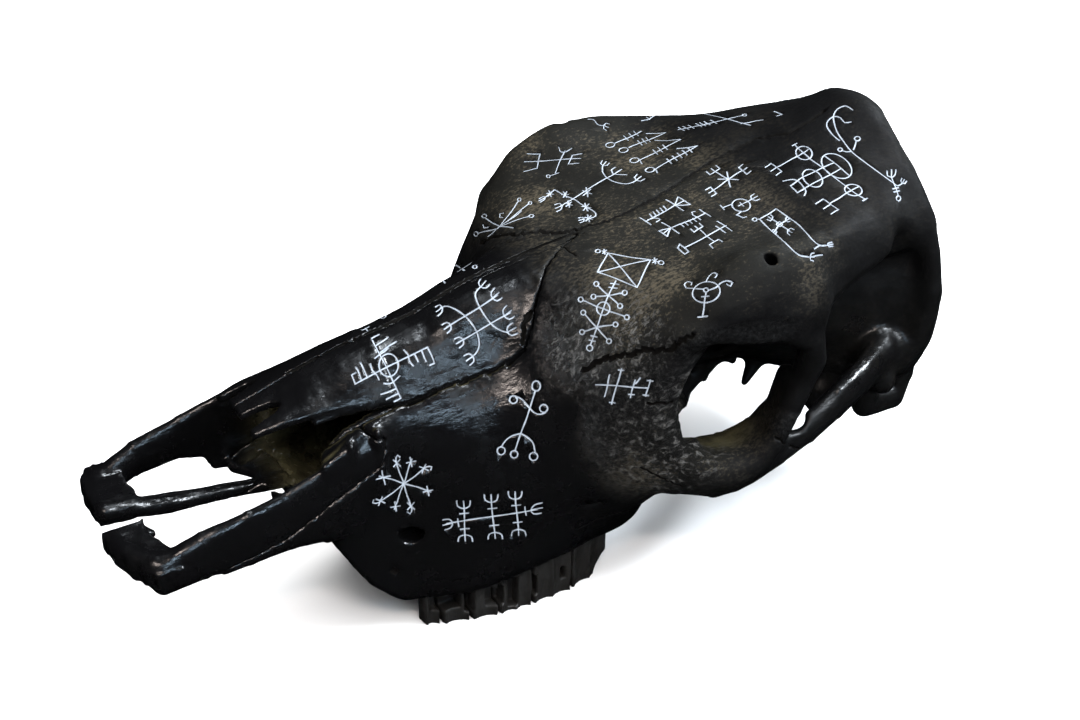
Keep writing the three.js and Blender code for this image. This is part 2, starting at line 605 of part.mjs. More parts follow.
function thinned(mesh, target) {
  const positions = mesh.positions.map((p) => [...p]);
  const triangles = mesh.triangles.map((t) => [...t]);
  const alive = triangles.map(() => true);
  const around = positions.map(() => new Set());
  const quadric = positions.map(() => new Float64Array(10));
  const version = new Int32Array(positions.length);
  const gone = new Uint8Array(positions.length);
  triangles.forEach(([a, b, c], t) => {
    for (const v of [a, b, c]) around[v].add(t);
    const n = cross(minus(positions[b], positions[a]), minus(positions[c], positions[a]));
    const length = Math.hypot(...n);
    if (length < 1e-9) return;
    const [nx, ny, nz] = n.map((v) => v / length);
    const d = -(nx * positions[a][0] + ny * positions[a][1] + nz * positions[a][2]);
    const terms = [nx * nx, nx * ny, nx * nz, nx * d, ny * ny, ny * nz, ny * d, nz * nz, nz * d, d * d];
    const weight = length / 2;
    for (const v of [a, b, c]) for (let i = 0; i < 10; i += 1) quadric[v][i] += terms[i] * weight;
  });
  const error = (q, [x, y, z]) => q[0] * x * x + 2 * q[1] * x * y + 2 * q[2] * x * z + 2 * q[3] * x
    + q[4] * y * y + 2 * q[5] * y * z + 2 * q[6] * y + q[7] * z * z + 2 * q[8] * z + q[9];
  const bestPoint = (q, a, b) => {
    const det = q[0] * (q[4] * q[7] - q[5] * q[5]) - q[1] * (q[1] * q[7] - q[5] * q[2])
      + q[2] * (q[1] * q[5] - q[4] * q[2]);
    const middle = [0, 1, 2].map((i) => (a[i] + b[i]) / 2);
    const candidates = [a, b, middle];
    const trace = q[0] + q[4] + q[7];
    if (Math.abs(det) > 1e-4 * trace * trace * trace) {
      const r = [-q[3], -q[6], -q[8]];
      const x = (r[0] * (q[4] * q[7] - q[5] * q[5]) - q[1] * (r[1] * q[7] - q[5] * r[2])
        + q[2] * (r[1] * q[5] - q[4] * r[2])) / det;
      const y = (q[0] * (r[1] * q[7] - q[5] * r[2]) - r[0] * (q[1] * q[7] - q[5] * q[2])
        + q[2] * (q[1] * r[2] - r[1] * q[2])) / det;
      const z = (q[0] * (q[4] * r[2] - r[1] * q[5]) - q[1] * (q[1] * r[2] - r[1] * q[2])
        + r[0] * (q[1] * q[5] - q[4] * q[2])) / det;
      const reach = 2 * Math.hypot(...minus(a, b));
      if (Math.hypot(...minus([x, y, z], middle)) < reach) candidates.push([x, y, z]);
    }
    let best = candidates[0];
    for (const c of candidates) if (error(q, c) < error(q, best)) best = c;
    return best;
  };
  const heap = new Heap();
  const push = (a, b) => {
    const q = quadric[a].map((v, i) => v + quadric[b][i]);
    const point = bestPoint(q, positions[a], positions[b]);
    const span = Math.hypot(...minus(positions[a], positions[b]));
    heap.push({ cost: error(q, point) + 1e-4 * span * span, a, b, point, va: version[a], vb: version[b] });
  };
  const neighbours = (v) => {
    const found = new Set();
    for (const t of around[v]) for (const w of triangles[t]) if (w !== v) found.add(w);
    return found;
  };
  triangles.forEach(([a, b, c]) => {
    if (a < b) push(a, b);
    if (b < c) push(b, c);
    if (c < a) push(c, a);
  });
  let count = triangles.length;
  const keepsShape = (v, other, point) => {
    for (const t of around[v]) {
      const tri = triangles[t];
      if (tri.includes(other)) continue;
      const before = tri.map((w) => positions[w]);
      const after = tri.map((w) => (w === v ? point : positions[w]));
      const n0 = cross(minus(before[1], before[0]), minus(before[2], before[0]));
      const n1 = cross(minus(after[1], after[0]), minus(after[2], after[0]));
      const l0 = Math.hypot(...n0);
      const l1 = Math.hypot(...n1);
      const shapeBefore = l0 / longestSide(before) ** 2;
      const shapeAfter = l1 / longestSide(after) ** 2;
      if (shapeBefore > 0.08 && dot(n0, n1) < 0.3 * l0 * l1) return false;
      if (shapeBefore <= 0.08 && dot(n0, n1) < -0.2 * l0 * l1) return false;
      if (shapeAfter < 0.03 && shapeAfter < shapeBefore) return false;
    }
    return true;
  };
  let countAtRefill = Infinity;
  while (count > target) {
    if (heap.items.length === 0) {
      if (count === countAtRefill) break;
      countAtRefill = count;
      triangles.forEach((t, i) => {
        if (alive[i]) for (let k = 0; k < 3; k += 1) if (t[k] < t[(k + 1) % 3]) push(t[k], t[(k + 1) % 3]);
      });
    }
    const { a, b, point, va, vb } = heap.pop();
    if (gone[a] || gone[b] || version[a] !== va || version[b] !== vb) continue;
    const na = neighbours(a);
    const nb = neighbours(b);
    if (!na.has(b)) continue;
    let shared = 0;
    for (const v of na) if (nb.has(v)) shared += 1;
    if (shared !== 2) continue;
    if (!keepsShape(a, b, point) || !keepsShape(b, a, point)) continue;
    for (const t of [...around[b]]) {
      const tri = triangles[t];
      if (tri.includes(a)) {
        alive[t] = false;
        count -= 1;
        for (const v of tri) around[v].delete(t);
      } else {
        tri[tri.indexOf(b)] = a;
        around[a].add(t);
      }
    }
    around[b].clear();
    gone[b] = 1;
    positions[a] = point;
    for (let i = 0; i < 10; i += 1) quadric[a][i] += quadric[b][i];
    version[a] += 1;
    for (const v of neighbours(a)) push(a, v);
  }
  return compact({ positions, triangles: triangles.filter((_, t) => alive[t]) });
}

function compact({ positions, triangles }) {
  const used = new Map();
  const kept = [];
  const renumbered = triangles.map((t) => t.map((v) => {
    if (!used.has(v)) {
      used.set(v, kept.length);
      kept.push(positions[v]);
    }
    return used.get(v);
  }));
  return { positions: kept, triangles: renumbered };
}

// Between plain meshes, three.js geometry and solids that can be cut

function solidFromMesh({ positions, triangles }) {
  return new wasm.Manifold(new wasm.Mesh({
    numProp: 3,
    vertProperties: Float32Array.from(positions.flat()),
    triVerts: Uint32Array.from(triangles.flat()),
  }));
}

function solidFromGeometry(geometry) {
  const bare = geometry.index ? geometry.toNonIndexed() : geometry.clone();
  bare.deleteAttribute('normal');
  bare.deleteAttribute('uv');
  const merged = BufferGeometryUtils.mergeVertices(bare, 1e-4);
  return new wasm.Manifold(new wasm.Mesh({
    numProp: 3,
    vertProperties: Float32Array.from(merged.attributes.position.array),
    triVerts: Uint32Array.from(merged.index.array),
  }));
}

// The cheek teeth: a loft of three rings, with ribs down the cheek side and a worn, level grinding face

const TOOTH_ROW = [
  { name: 'premolar_2', from: 146.0, to: 153.6, cheek: [41.5, 44], tongue: [32, 32.5], ribs: 1, root: 44 },
  { name: 'premolar_3', from: 154.4, to: 167.6, cheek: [45.5, 49], tongue: [33, 34], ribs: 1, root: 50 },
  { name: 'premolar_4', from: 168.4, to: 181.6, cheek: [50, 53], tongue: [34.5, 35.5], ribs: 1, root: 60 },
  { name: 'molar_1', from: 182.4, to: 200.1, cheek: [53.5, 55], tongue: [36, 35.5], ribs: 2, root: 60 },
  { name: 'molar_2', from: 200.9, to: 223.6, cheek: [55, 54.5], tongue: [35.5, 35], ribs: 2, root: 60 },
  { name: 'molar_3', from: 224.4, to: 248.8, cheek: [54, 48.5], tongue: [35, 35.5], ribs: 2, root: 60 },
];
const NECK_HEIGHT = 24;
const RIB_DEPTH = 1.6;
const CORNER_CUT = 1.6;

function toothOutline({ from, to, cheek, tongue, ribs }, grow) {
  const outline = [];
  const low = from - grow;
  const high = to + grow;
  const across = (pair, x) => pair[0] + (pair[1] - pair[0]) * (x - from) / (to - from);
  const steps = grow > 0 ? 2 : ribs * 4;
  for (let i = 0; i <= steps; i += 1) {
    const x = low + CORNER_CUT * 0.6 + (high - low - CORNER_CUT * 1.2) * i / steps;
    const dip = RIB_DEPTH * Math.abs(Math.sin(Math.PI * ribs * i / steps));
    outline.push([x, across(cheek, x) + grow - (grow > 0 ? 0 : dip)]);
  }
  outline.push([high, across(cheek, to) - CORNER_CUT * 1.5]);
  outline.push([high, across(tongue, to) + CORNER_CUT]);
  outline.push([high - CORNER_CUT, across(tongue, to) - grow]);
  outline.push([(low + high) / 2, across(tongue, (low + high) / 2) - grow - 0.6]);
  outline.push([low + CORNER_CUT, across(tongue, from) - grow]);
  outline.push([low, across(tongue, from) + CORNER_CUT]);
  outline.push([low, across(cheek, from) - CORNER_CUT * 1.5]);
  return outline;
}

function outlineArea(outline) {
  return outline.reduce((sum, p, i) => {
    const q = outline[(i + 1) % outline.length];
    return sum + (p[0] * q[1] - q[0] * p[1]) / 2;
  }, 0);
}

function prism(drawn, levels) {
  const outline = outlineArea(drawn) > 0 ? drawn : [...drawn].reverse();
  const count = outline.length;
  const centre = [0, 1].map((k) => outline.reduce((sum, p) => sum + p[k], 0) / count);
  const positions = [];
  const triangles = [];
  for (const { z, scale } of levels) {
    for (const [x, y] of outline) {
      positions.push([centre[0] + (x - centre[0]) * scale, centre[1] + (y - centre[1]) * scale, z]);
    }
  }
  for (let ring = 0; ring < levels.length - 1; ring += 1) {
    for (let i = 0; i < count; i += 1) {
      const a = ring * count + i;
      const b = ring * count + (i + 1) % count;
      triangles.push([a, b, a + count], [b, b + count, a + count]);
    }
  }
  const top = (levels.length - 1) * count;
  const flat = outline.map(([x, y]) => new THREE.Vector2(x, y));
  for (const [a, b, c] of THREE.ShapeUtils.triangulateShape(flat, [])) {
    triangles.push([a, c, b], [top + a, top + b, top + c]);
  }
  return { positions, triangles };
}

function toLeft({ positions, triangles }) {
  return {
    positions: positions.map(([x, y, z]) => [x, -y, z]),
    triangles: triangles.map(([a, b, c]) => [a, c, b]),
  };
}

const toothLevels = ({ root }) => [
  { z: 0, scale: 1 },
  { z: NECK_HEIGHT * 0.55, scale: 1 },
  { z: root, scale: 0.86 },
];
const socketLevels = ({ root }) => [
  { z: -2, scale: 1 },
  { z: NECK_HEIGHT * 0.55, scale: 1 },
  { z: root + SOCKET_GAP, scale: 0.875 },
];

// Gaps broken into the cheek side of the left teeth

const TOOTH_GAPS = [
  { from: 149, to: 163.5, bottom: 8, top: 17, inner: 38 },
  { from: 165, to: 169.5, bottom: 5, top: 17, inner: 42 },
  { from: 175.5, to: 184.5, bottom: 6, top: 17, inner: 45 },
  { from: 187, to: 192.5, bottom: 2.5, top: 20, inner: 47 },
  { from: 200.5, to: 203.5, bottom: 5, top: 17, inner: 48 },
  { from: 218, to: 220.5, bottom: 8, top: 15, inner: 48 },
];

function withGaps(tooth) {
  let solid = tooth;
  for (const { from, to, bottom, top, inner } of TOOTH_GAPS) {
    const geometry = new THREE.BoxGeometry(to - from, 30, top - bottom);
    geometry.translate((from + to) / 2, -inner - 15, (bottom + top) / 2);
    solid = solid.subtract(solidFromGeometry(geometry));
  }
  return solid;
}

// The back corner of the last left molar is worn off along a slope: its middle, and its angle to the ground

const WORN_HEEL = { x: 251.6, y: -45, z: 2.7, slope: 1 };

function withWornHeel(tooth) {
  const geometry = new THREE.BoxGeometry(40, 60, 14);
  geometry.rotateY(-WORN_HEEL.slope);
  geometry.translate(WORN_HEEL.x, WORN_HEEL.y, WORN_HEEL.z);
  return tooth.subtract(solidFromGeometry(geometry));
}

// Sutures: outlines seen from above (nasal bones) and from the side (incisive bones)

const NASAL_SUTURE = [
  [58, 0], [58, 27.5], [128, 27.5], [150, 29], [170, 30], [188, 31.5], [207, 34.5], [213, 31], [221, 24],
  [232, 15], [246, 7], [260, 0],
];
const NASAL_LOWEST = 112;
const INCISIVE_SUTURE = [
  [-20, 40], [30, 50], [44, 73], [60, 76.5], [74, 78.5], [84, 82.5], [97, 89.5], [109, 94.5],
  [119, 98.5], [127, 102],
  [130, 112], [121, 118], [112, 124], [100, 129], [60, 122], [-20, 122],
];

function grown(outline, gap) {
  const turn = outlineArea(outline) > 0 ? 1 : -1;
  return outline.map((p, i) => {
    const before = outline[(i + outline.length - 1) % outline.length];
    const after = outline[(i + 1) % outline.length];
    const first = new THREE.Vector2(p[0] - before[0], p[1] - before[1]).normalize();
    const second = new THREE.Vector2(after[0] - p[0], after[1] - p[1]).normalize();
    const normal = new THREE.Vector2(first.y + second.y, -first.x - second.x).normalize();
    const reach = gap * turn / Math.max(0.4, normal.x * first.y - normal.y * first.x);
    return [p[0] + normal.x * reach, p[1] + normal.y * reach];
  });
}

function nasalPrism(side, gap) {
  const outline = grown(NASAL_SUTURE, gap).map(([x, y]) => [x, Math.max(y, SUTURE_GAP / 2 - gap)]);
  const shape = prism(outline, [{ z: NASAL_LOWEST, scale: 1 }, { z: SKULL_HEIGHT, scale: 1 }]);
  return side === 'right' ? shape : toLeft(shape);
}

function incisivePrism(gap) {
  const standing = prism(grown(INCISIVE_SUTURE, gap), [{ z: -70, scale: 1 }, { z: 70, scale: 1 }]);
  return { positions: standing.positions.map(([x, y, z]) => [x, -z, y]), triangles: standing.triangles };
}

// Cutting the bone into its pieces

function largestPiece(solid) {
  const mesh = solid.getMesh();
  const positions = [];
  for (let i = 0; i < mesh.vertProperties.length; i += 3) {
    positions.push([...mesh.vertProperties.slice(i, i + 3)]);
  }
  const triangles = [];
  for (let i = 0; i < mesh.triVerts.length; i += 3) triangles.push([...mesh.triVerts.slice(i, i + 3)]);
  return compact(largestShell({ positions, triangles }));
}

function halfSpace(side) {
  const reach = 400;
  const geometry = new THREE.BoxGeometry(3 * reach, reach, 2 * reach);
  geometry.translate(0, (side === 'right' ? 0.5 : -0.5) * reach, 0);
  return solidFromGeometry(geometry);
}

const pieces = new Map();
const skullMesh = thinned(largestShell(surfaceOf(wholeSkull())), BONE_TRIANGLES);
let rest = solidFromMesh(skullMesh);
for (const side of ['left', 'right']) {
  const nasal = solidFromMesh(nasalPrism(side, 0)).intersect(rest);
  pieces.set(`nasal_bone_${side}`, largestPiece(nasal));
}
for (const side of ['left', 'right']) rest = rest.subtract(solidFromMesh(nasalPrism(side, SUTURE_GAP)));
const incisives = solidFromMesh(incisivePrism(0)).intersect(rest);
for (const side of ['left', 'right']) {
  pieces.set(`incisive_bone_${side}`, largestPiece(incisives.intersect(halfSpace(side))));
}
rest = rest.subtract(solidFromMesh(incisivePrism(SUTURE_GAP)));
for (const tooth of TOOTH_ROW) {
  const crown = prism(toothOutline(tooth, 0), toothLevels(tooth));
  const socket = prism(toothOutline(tooth, SOCKET_GAP + 0.1), socketLevels(tooth));
  let left = withGaps(solidFromMesh(toLeft(crown)));
  const right = solidFromMesh(crown);
  if (tooth.name === 'molar_3') left = withWornHeel(left);
  pieces.set(`${tooth.name}_left`, largestPiece(left));
  pieces.set(`${tooth.name}_right`, largestPiece(right));
  rest = rest.subtract(solidFromMesh(socket)).subtract(solidFromMesh(toLeft(socket)));
}
pieces.set('cranium', largestPiece(rest));

// Materials

const stainedBone = { color: 0x1d1b19, roughness: 0.5, metalness: 0 };
const glossyBone = { color: 0x131214, roughness: 0.3, metalness: 0 };
const stainedTooth = { color: 0x24211d, roughness: 0.65, metalness: 0 };

function materialOf(name) {
  if (name.includes('molar')) return new THREE.MeshStandardMaterial(stainedTooth);
  if (name.includes('nasal') || name.includes('incisive')) return new THREE.MeshStandardMaterial(glossyBone);
  return new THREE.MeshStandardMaterial(stainedBone);
}

const skull = new THREE.Group();
for (const [name, { positions, triangles }] of pieces) {
  const geometry = new THREE.BufferGeometry();
  geometry.setAttribute('position', new THREE.Float32BufferAttribute(positions.flat(), 3));
  geometry.setIndex(triangles.flat());
  const piece = new THREE.Mesh(geometry, materialOf(name));
  piece.name = name;
  skull.add(piece);
}

// The origin is under the middle of the skull, on the surface that it stands on

const box = new THREE.Box3().setFromObject(skull);
skull.position.set(-(box.min.x + box.max.x) / 2, -(box.min.y + box.max.y) / 2, -box.min.z);

export default skull;
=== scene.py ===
# The looks of a black-stained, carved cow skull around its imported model.
# The bone is a distance field in millimetres, in the frame that the skull was modelled in: the snout's tip
# is at x = 0, +X points backward, the animal's left side faces -Y, and the skull stands at z = 0.
# The field is meshed bone by bone, roughened, split along its sutures and carved with line signs.

import math

import bpy
import numpy as np
import openvdb
from mathutils import Matrix, Vector
from mathutils.bvhtree import BVHTree


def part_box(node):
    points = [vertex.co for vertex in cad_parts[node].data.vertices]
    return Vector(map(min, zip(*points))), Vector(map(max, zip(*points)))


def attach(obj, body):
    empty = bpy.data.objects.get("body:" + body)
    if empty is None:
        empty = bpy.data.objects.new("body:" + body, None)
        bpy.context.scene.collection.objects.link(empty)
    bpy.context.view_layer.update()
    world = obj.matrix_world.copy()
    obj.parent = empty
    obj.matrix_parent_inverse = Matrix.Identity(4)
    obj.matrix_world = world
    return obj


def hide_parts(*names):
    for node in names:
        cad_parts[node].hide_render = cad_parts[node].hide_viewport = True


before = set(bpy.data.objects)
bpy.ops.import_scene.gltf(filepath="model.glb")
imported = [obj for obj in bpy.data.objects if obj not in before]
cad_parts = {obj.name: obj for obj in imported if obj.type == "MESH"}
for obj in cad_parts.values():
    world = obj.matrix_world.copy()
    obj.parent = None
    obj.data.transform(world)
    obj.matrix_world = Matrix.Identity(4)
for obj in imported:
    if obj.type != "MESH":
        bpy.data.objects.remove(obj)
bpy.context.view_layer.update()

# Driving sizes, in millimetres

MOLAR_1_START = 182.4
SUTURE_GAP = 0.35
SUTURE_SET_BACK = -0.2
SUTURE_BLEND = 0.8
SOCKET_GAP = 0.35
SKULL_HEIGHT = 208.0
CRANIUM_STEP = 1.45
SMALL_BONE_STEP = 0.95
TOOTH_STEP = 0.75
CRANIUM_TRIANGLES = 128000
CURVE_PARTS = 4
FAR = 1000.0

# The frame's x is measured from the middle of the skull

FRAME_SHIFT = MOLAR_1_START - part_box("molar_1_left")[0][0] * 1000.0


def to_frame(points):
    """Modelling millimetres to metres in the frame."""
    return (np.asarray(points, float) - [FRAME_SHIFT, 0.0, 0.0]) * 0.001


# The camera, solved from the photograph's outline


class View:
    """The photograph's camera, which also turns a pixel of the 1080 x 720 photograph into a ray."""

    SIZE = (1080, 720)
    FOCAL_PIXELS = 2000.0
    LOOK_AT = np.array([230.0, 0.0, 100.0])
    AZIMUTH = math.radians(-32.6)
    ELEVATION = math.radians(30.7)
    ROLL = math.radians(0.5)
    DISTANCE = 1008.0
    SLIDE = (6.8, 5.4)

    def __init__(self):
        a, e, r = self.AZIMUTH, self.ELEVATION, self.ROLL
        self.back = np.array([math.sin(a) * math.cos(e), -math.cos(a) * math.cos(e), math.sin(e)])
        level = np.array([math.cos(a), math.sin(a), 0.0])
        upright = np.cross(self.back, level)
        self.right = level * math.cos(r) + upright * math.sin(r)
        self.up = upright * math.cos(r) - level * math.sin(r)
        self.place = (self.LOOK_AT + self.right * self.SLIDE[0] + self.up * self.SLIDE[1]
                      + self.back * self.DISTANCE)

    def ray(self, pixel):
        across = (pixel[0] - self.SIZE[0] / 2) / self.FOCAL_PIXELS
        down = (pixel[1] - self.SIZE[1] / 2) / self.FOCAL_PIXELS
        direction = self.right * across - self.up * down - self.back
        return direction / np.linalg.norm(direction)


view = View()


def make_camera():
    data = bpy.data.cameras.new("photo_camera")
    data.sensor_width = 36.0
    data.lens = 36.0 * View.FOCAL_PIXELS / View.SIZE[0]
    data.clip_start = 0.05
    data.clip_end = 50.0
    camera = bpy.data.objects.new("photo_camera", data)
    place = to_frame(view.place)
    columns = [view.right, view.up, view.back, place]
    camera.matrix_world = Matrix([[float(c[i]) for c in columns] for i in range(3)] + [[0, 0, 0, 1]])
    bpy.context.scene.collection.objects.link(camera)
    bpy.context.scene.camera = camera


make_camera()

# Distance shapes: each has a box and a function of x, y and z grids that is negative inside


class Shape:
    def __init__(self, low, high, f):
        self.low = np.asarray(low, float)
        self.high = np.asarray(high, float)
        self.f = f


def ellipsoid(centre, radii):
    centre = np.asarray(centre, float)
    radii = np.asarray(radii, float)

    def f(x, y, z):
        u = (x - centre[0]) / radii[0]
        v = (y - centre[1]) / radii[1]
        w = (z - centre[2]) / radii[2]
        return (np.sqrt(u * u + v * v + w * w) - 1.0) * radii.min()

    return Shape(centre - radii, centre + radii, f)


def bar(points):
    """A bar through points [x, y, z, half width, half height]."""
    points = np.asarray(points, float)
    reach = points[:, 3:].max(axis=1)[:, None]

    def f(x, y, z):
        best = None
        for a, b in zip(points[:-1], points[1:]):
            e = b[:3] - a[:3]
            t = ((x - a[0]) * e[0] + (y - a[1]) * e[1] + (z - a[2]) * e[2]) / (e @ e)
            t = np.clip(t, 0.0, 1.0)
            width = a[3] + (b[3] - a[3]) * t
            height = a[4] + (b[4] - a[4]) * t
            least = np.minimum(width, height)
            u = (x - a[0] - e[0] * t) / least
            v = (y - a[1] - e[1] * t) / width
            w = (z - a[2] - e[2] * t) / height
            distance = (np.sqrt(u * u + v * v + w * w) - 1.0) * least
            best = distance if best is None else np.minimum(best, distance)
        return best

    return Shape((points[:, :3] - reach).min(axis=0), (points[:, :3] + reach).max(axis=0), f)


def eased(stations, values, x):
    """Values at x on a curve through the stations that never overshoots."""
    slopes = np.diff(values) / np.diff(stations)
    product = slopes[:-1] * slopes[1:]
    total = np.where(product > 0, slopes[:-1] + slopes[1:], 1.0)
    inner = np.where(product > 0, 2 * product / total, 0.0)
    tangents = np.concatenate([slopes[:1], inner, slopes[-1:]])
    i = np.clip(np.searchsorted(stations, x) - 1, 0, len(stations) - 2)
    h = stations[i + 1] - stations[i]
    t = (x - stations[i]) / h
    t2 = t * t
    t3 = t2 * t
    return ((2 * t3 - 3 * t2 + 1) * values[i] + (t3 - 2 * t2 + t) * h * tangents[i]
            + (3 * t2 - 2 * t3) * values[i + 1] + (t3 - t2) * h * tangents[i + 1])


def on_curve(a, b, c, d, t):
    """The point at t from b to c on a smooth curve that comes from a and goes on to d."""
    return 0.5 * (2 * b + (c - a) * t + (2 * a - 5 * b + 4 * c - d) * t * t
                  + (3 * b - a - 3 * c + d) * t * t * t)


def outline_distance(starts, ends, closing, u, v):
    """Signed distance in a plane to the outline of the segments. The closing one only closes it."""
    nearest = None
    inside = None
    for a, b, is_closing in zip(starts, ends, closing):
        au, av, bu, bv = a[0], a[1], b[0], b[1]
        eu = bu - au
        ev = bv - av
        crosses = ((av > v) != (bv > v)) & (u < au + eu * (v - av) / (ev + 1e-9))
        inside = crosses if inside is None else inside ^ crosses
        if is_closing:
            continue
        t = np.clip(((u - au) * eu + (v - av) * ev) / (eu * eu + ev * ev + 1e-9), 0.0, 1.0)
        du = u - au - eu * t
        dv = v - av - ev * t
        square = du * du + dv * dv
        nearest = square if nearest is None else np.minimum(nearest, square)
    return np.where(inside, -1.0, 1.0) * np.sqrt(nearest)


def loft(stations):
    """A loft along X through half outlines. A station is [x, y, z, y, z, ...], from the middle of its top
    to the middle of its bottom."""
    stations = np.array(stations, float)
    xs = stations[:, 0]
    points = stations[:, 1:].reshape(len(xs), -1, 2)
    count = points.shape[1]

    def f(x, y, z):
        at = np.clip(x[:, 0, 0], xs[0], xs[-1])
        p = np.empty((len(at), count, 2))
        for i in range(count):
            for k in range(2):
                p[:, i, k] = eased(xs, points[:, i, k], at)
        flip = np.array([-1.0, 1.0])
        padded = np.concatenate([p[:, 1:2] * flip, p, p[:, -2:-1] * flip], axis=1)
        a, b, c, d = padded[:, :-3], padded[:, 1:-2], padded[:, 2:-1], padded[:, 3:]
        rounds = [on_curve(a, b, c, d, step / CURVE_PARTS) for step in range(CURVE_PARTS)]
        fine = np.stack(rounds, axis=2).reshape(len(at), -1, 2)
        fine = np.concatenate([fine, p[:, -1:]], axis=1).astype(np.float32)
        columns = fine.transpose(1, 2, 0)[:, :, :, None, None]
        closing = [False] * (len(columns) - 1) + [True]
        side = outline_distance(columns, np.roll(columns, -1, axis=0), closing, y, z)
        return np.maximum(side, np.maximum(xs[0] - x, x - xs[-1]))

    low = [xs[0], 0.0, points[:, :, 1].min()]
    high = [xs[-1], points[:, :, 0].max(), points[:, :, 1].max()]
    return Shape(low, high, f)


def slab(outline, axis, low, high, grow=0.0):
    """A plate from low to high along the axis. Its outline is in x and y for axis 2, in x and z for 1."""
    outline = np.asarray(outline, float)
    others = [i for i in range(3) if i != axis]

    def f(x, y, z):
        coordinates = (x, y, z)
        u, v = (coordinates[i] for i in others)
        closing = [False] * len(outline)
        flat = outline_distance(outline, np.roll(outline, -1, axis=0), closing, u, v) - grow
        along = coordinates[axis]
        return np.maximum(flat, np.maximum(low - along, along - high))

    corner_low = np.empty(3)
    corner_high = np.empty(3)
    corner_low[others] = outline.min(axis=0) - grow
    corner_high[others] = outline.max(axis=0) + grow
    corner_low[axis] = low
    corner_high[axis] = high
    return Shape(corner_low, corner_high, f)


def plate(outline, level, tilt, half_thickness):
    """A flat piece with an outline in x and y. Its middle height changes with the distance from y = 0."""
    flat = slab(outline, 2, 0.0, 200.0)

    def f(x, y, z):
        middle = level + tilt * np.abs(y)
        return np.maximum(flat.f(x, y, z), np.abs(z - middle) - half_thickness)

    return Shape(flat.low, flat.high, f)


def block(low, high):
    def f(x, y, z):
        across = np.maximum(np.maximum(low[0] - x, x - high[0]), np.maximum(low[1] - y, y - high[1]))
        return np.maximum(across, np.maximum(low[2] - z, z - high[2]))

    return Shape(low, high, f)


def mirrored(shape):
    """The shape on the other side of y = 0."""
    low = [shape.low[0], -shape.high[1], shape.low[2]]
    high = [shape.high[0], -shape.low[1], shape.high[2]]
    return Shape(low, high, lambda x, y, z: shape.f(x, -y, z))


class Grid:
    """A sampled distance field."""

    def __init__(self, low, high, step):
        self.low = np.asarray(low, float)
        self.step = step
        size = np.ceil((np.asarray(high, float) - self.low) / step).astype(int) + 1
        self.values = np.full(size, FAR, np.float32)

    def axes(self, first, last):
        x, y, z = (self.low[i] + self.step * np.arange(first[i], last[i]) for i in range(3))
        x, y, z = (line.astype(np.float32) for line in (x, y, z))
        return x[:, None, None], y[None, :, None], z[None, None, :]

    def window(self, shape, reach):
        size = np.array(self.values.shape)
        first = np.clip(np.floor((shape.low - reach - self.low) / self.step).astype(int), 0, size)
        last = np.clip(np.ceil((shape.high + reach - self.low) / self.step).astype(int) + 1, 0, size)
        return first, last

    def change(self, shape, blend, rule):
        first, last = self.window(shape, blend + 3 * self.step)
        if (last <= first).any():
            return
        place = tuple(slice(a, b) for a, b in zip(first, last))
        self.values[place] = rule(self.values[place], shape.f(*self.axes(first, last)))

    def add(self, shape, blend):
        def rule(a, b):
            h = np.maximum(blend - np.abs(a - b), 0.0) / blend
            return np.minimum(a, b) - h * h * blend * 0.25

        self.change(shape, blend, rule)

    def cut(self, shape, blend):
        def rule(a, d):
            h = np.maximum(blend - np.abs(a + d), 0.0) / blend
            return np.maximum(a, -d) + h * h * blend * 0.25

        self.change(shape, blend, rule)

    def keep(self, shape):
        """Keeps only what lies in the shape."""
        size = np.array(self.values.shape)
        self.values = np.maximum(self.values, shape.f(*self.axes(np.zeros(3, int), size)))

    def both_sides(self):
        """The whole grid from one with y >= 0."""
        whole = Grid(self.low, self.low, self.step)
        whole.low = np.array([self.low[0], -self.step * (self.values.shape[1] - 1), self.low[2]])
        whole.values = np.concatenate([self.values[:, :0:-1], self.values], axis=1)
        return whole

    def surface(self):
        """Vertices in millimetres and quads of the largest closed surface."""
        clipped = np.clip(self.values, -3 * self.step, 3 * self.step) / self.step
        edge = float(clipped.max())
        for axis in range(3):
            for end in (0, -1):
                place = [slice(None)] * 3
                place[axis] = end
                clipped[tuple(place)] = edge
        volume = openvdb.FloatGrid(edge)
        volume.copyFromArray(np.ascontiguousarray(clipped, dtype=np.float32))
        points, _, quads = volume.convertToPolygons(0.0, 0.0)
        points = np.asarray(points, float) * self.step + self.low
        return largest_shell(points, np.asarray(quads, int))


def largest_shell(points, quads):
    """The connected surface with the most vertices, with its faces pointing out."""
    label = np.arange(len(points))
    while True:
        least = label[quads].min(axis=1)
        before = label.copy()
        for column in range(4):
            np.minimum.at(label, quads[:, column], least)
        label = label[label]
        if (label == before).all():
            break
    biggest = np.bincount(label).argmax()
    kept = label == biggest
    number = np.cumsum(kept) - 1
    quads = number[quads[kept[quads[:, 0]]]]
    points = points[kept]
    a, b, c, d = (points[quads[:, i]] for i in range(4))
    volume = (a * np.cross(b, c)).sum() + (a * np.cross(c, d)).sum()
    return (points, quads) if volume > 0 else (points, quads[:, ::-1])


# The bones, on the half where y >= 0. The incisive bones and the maxilla's tongues have a left and a right.

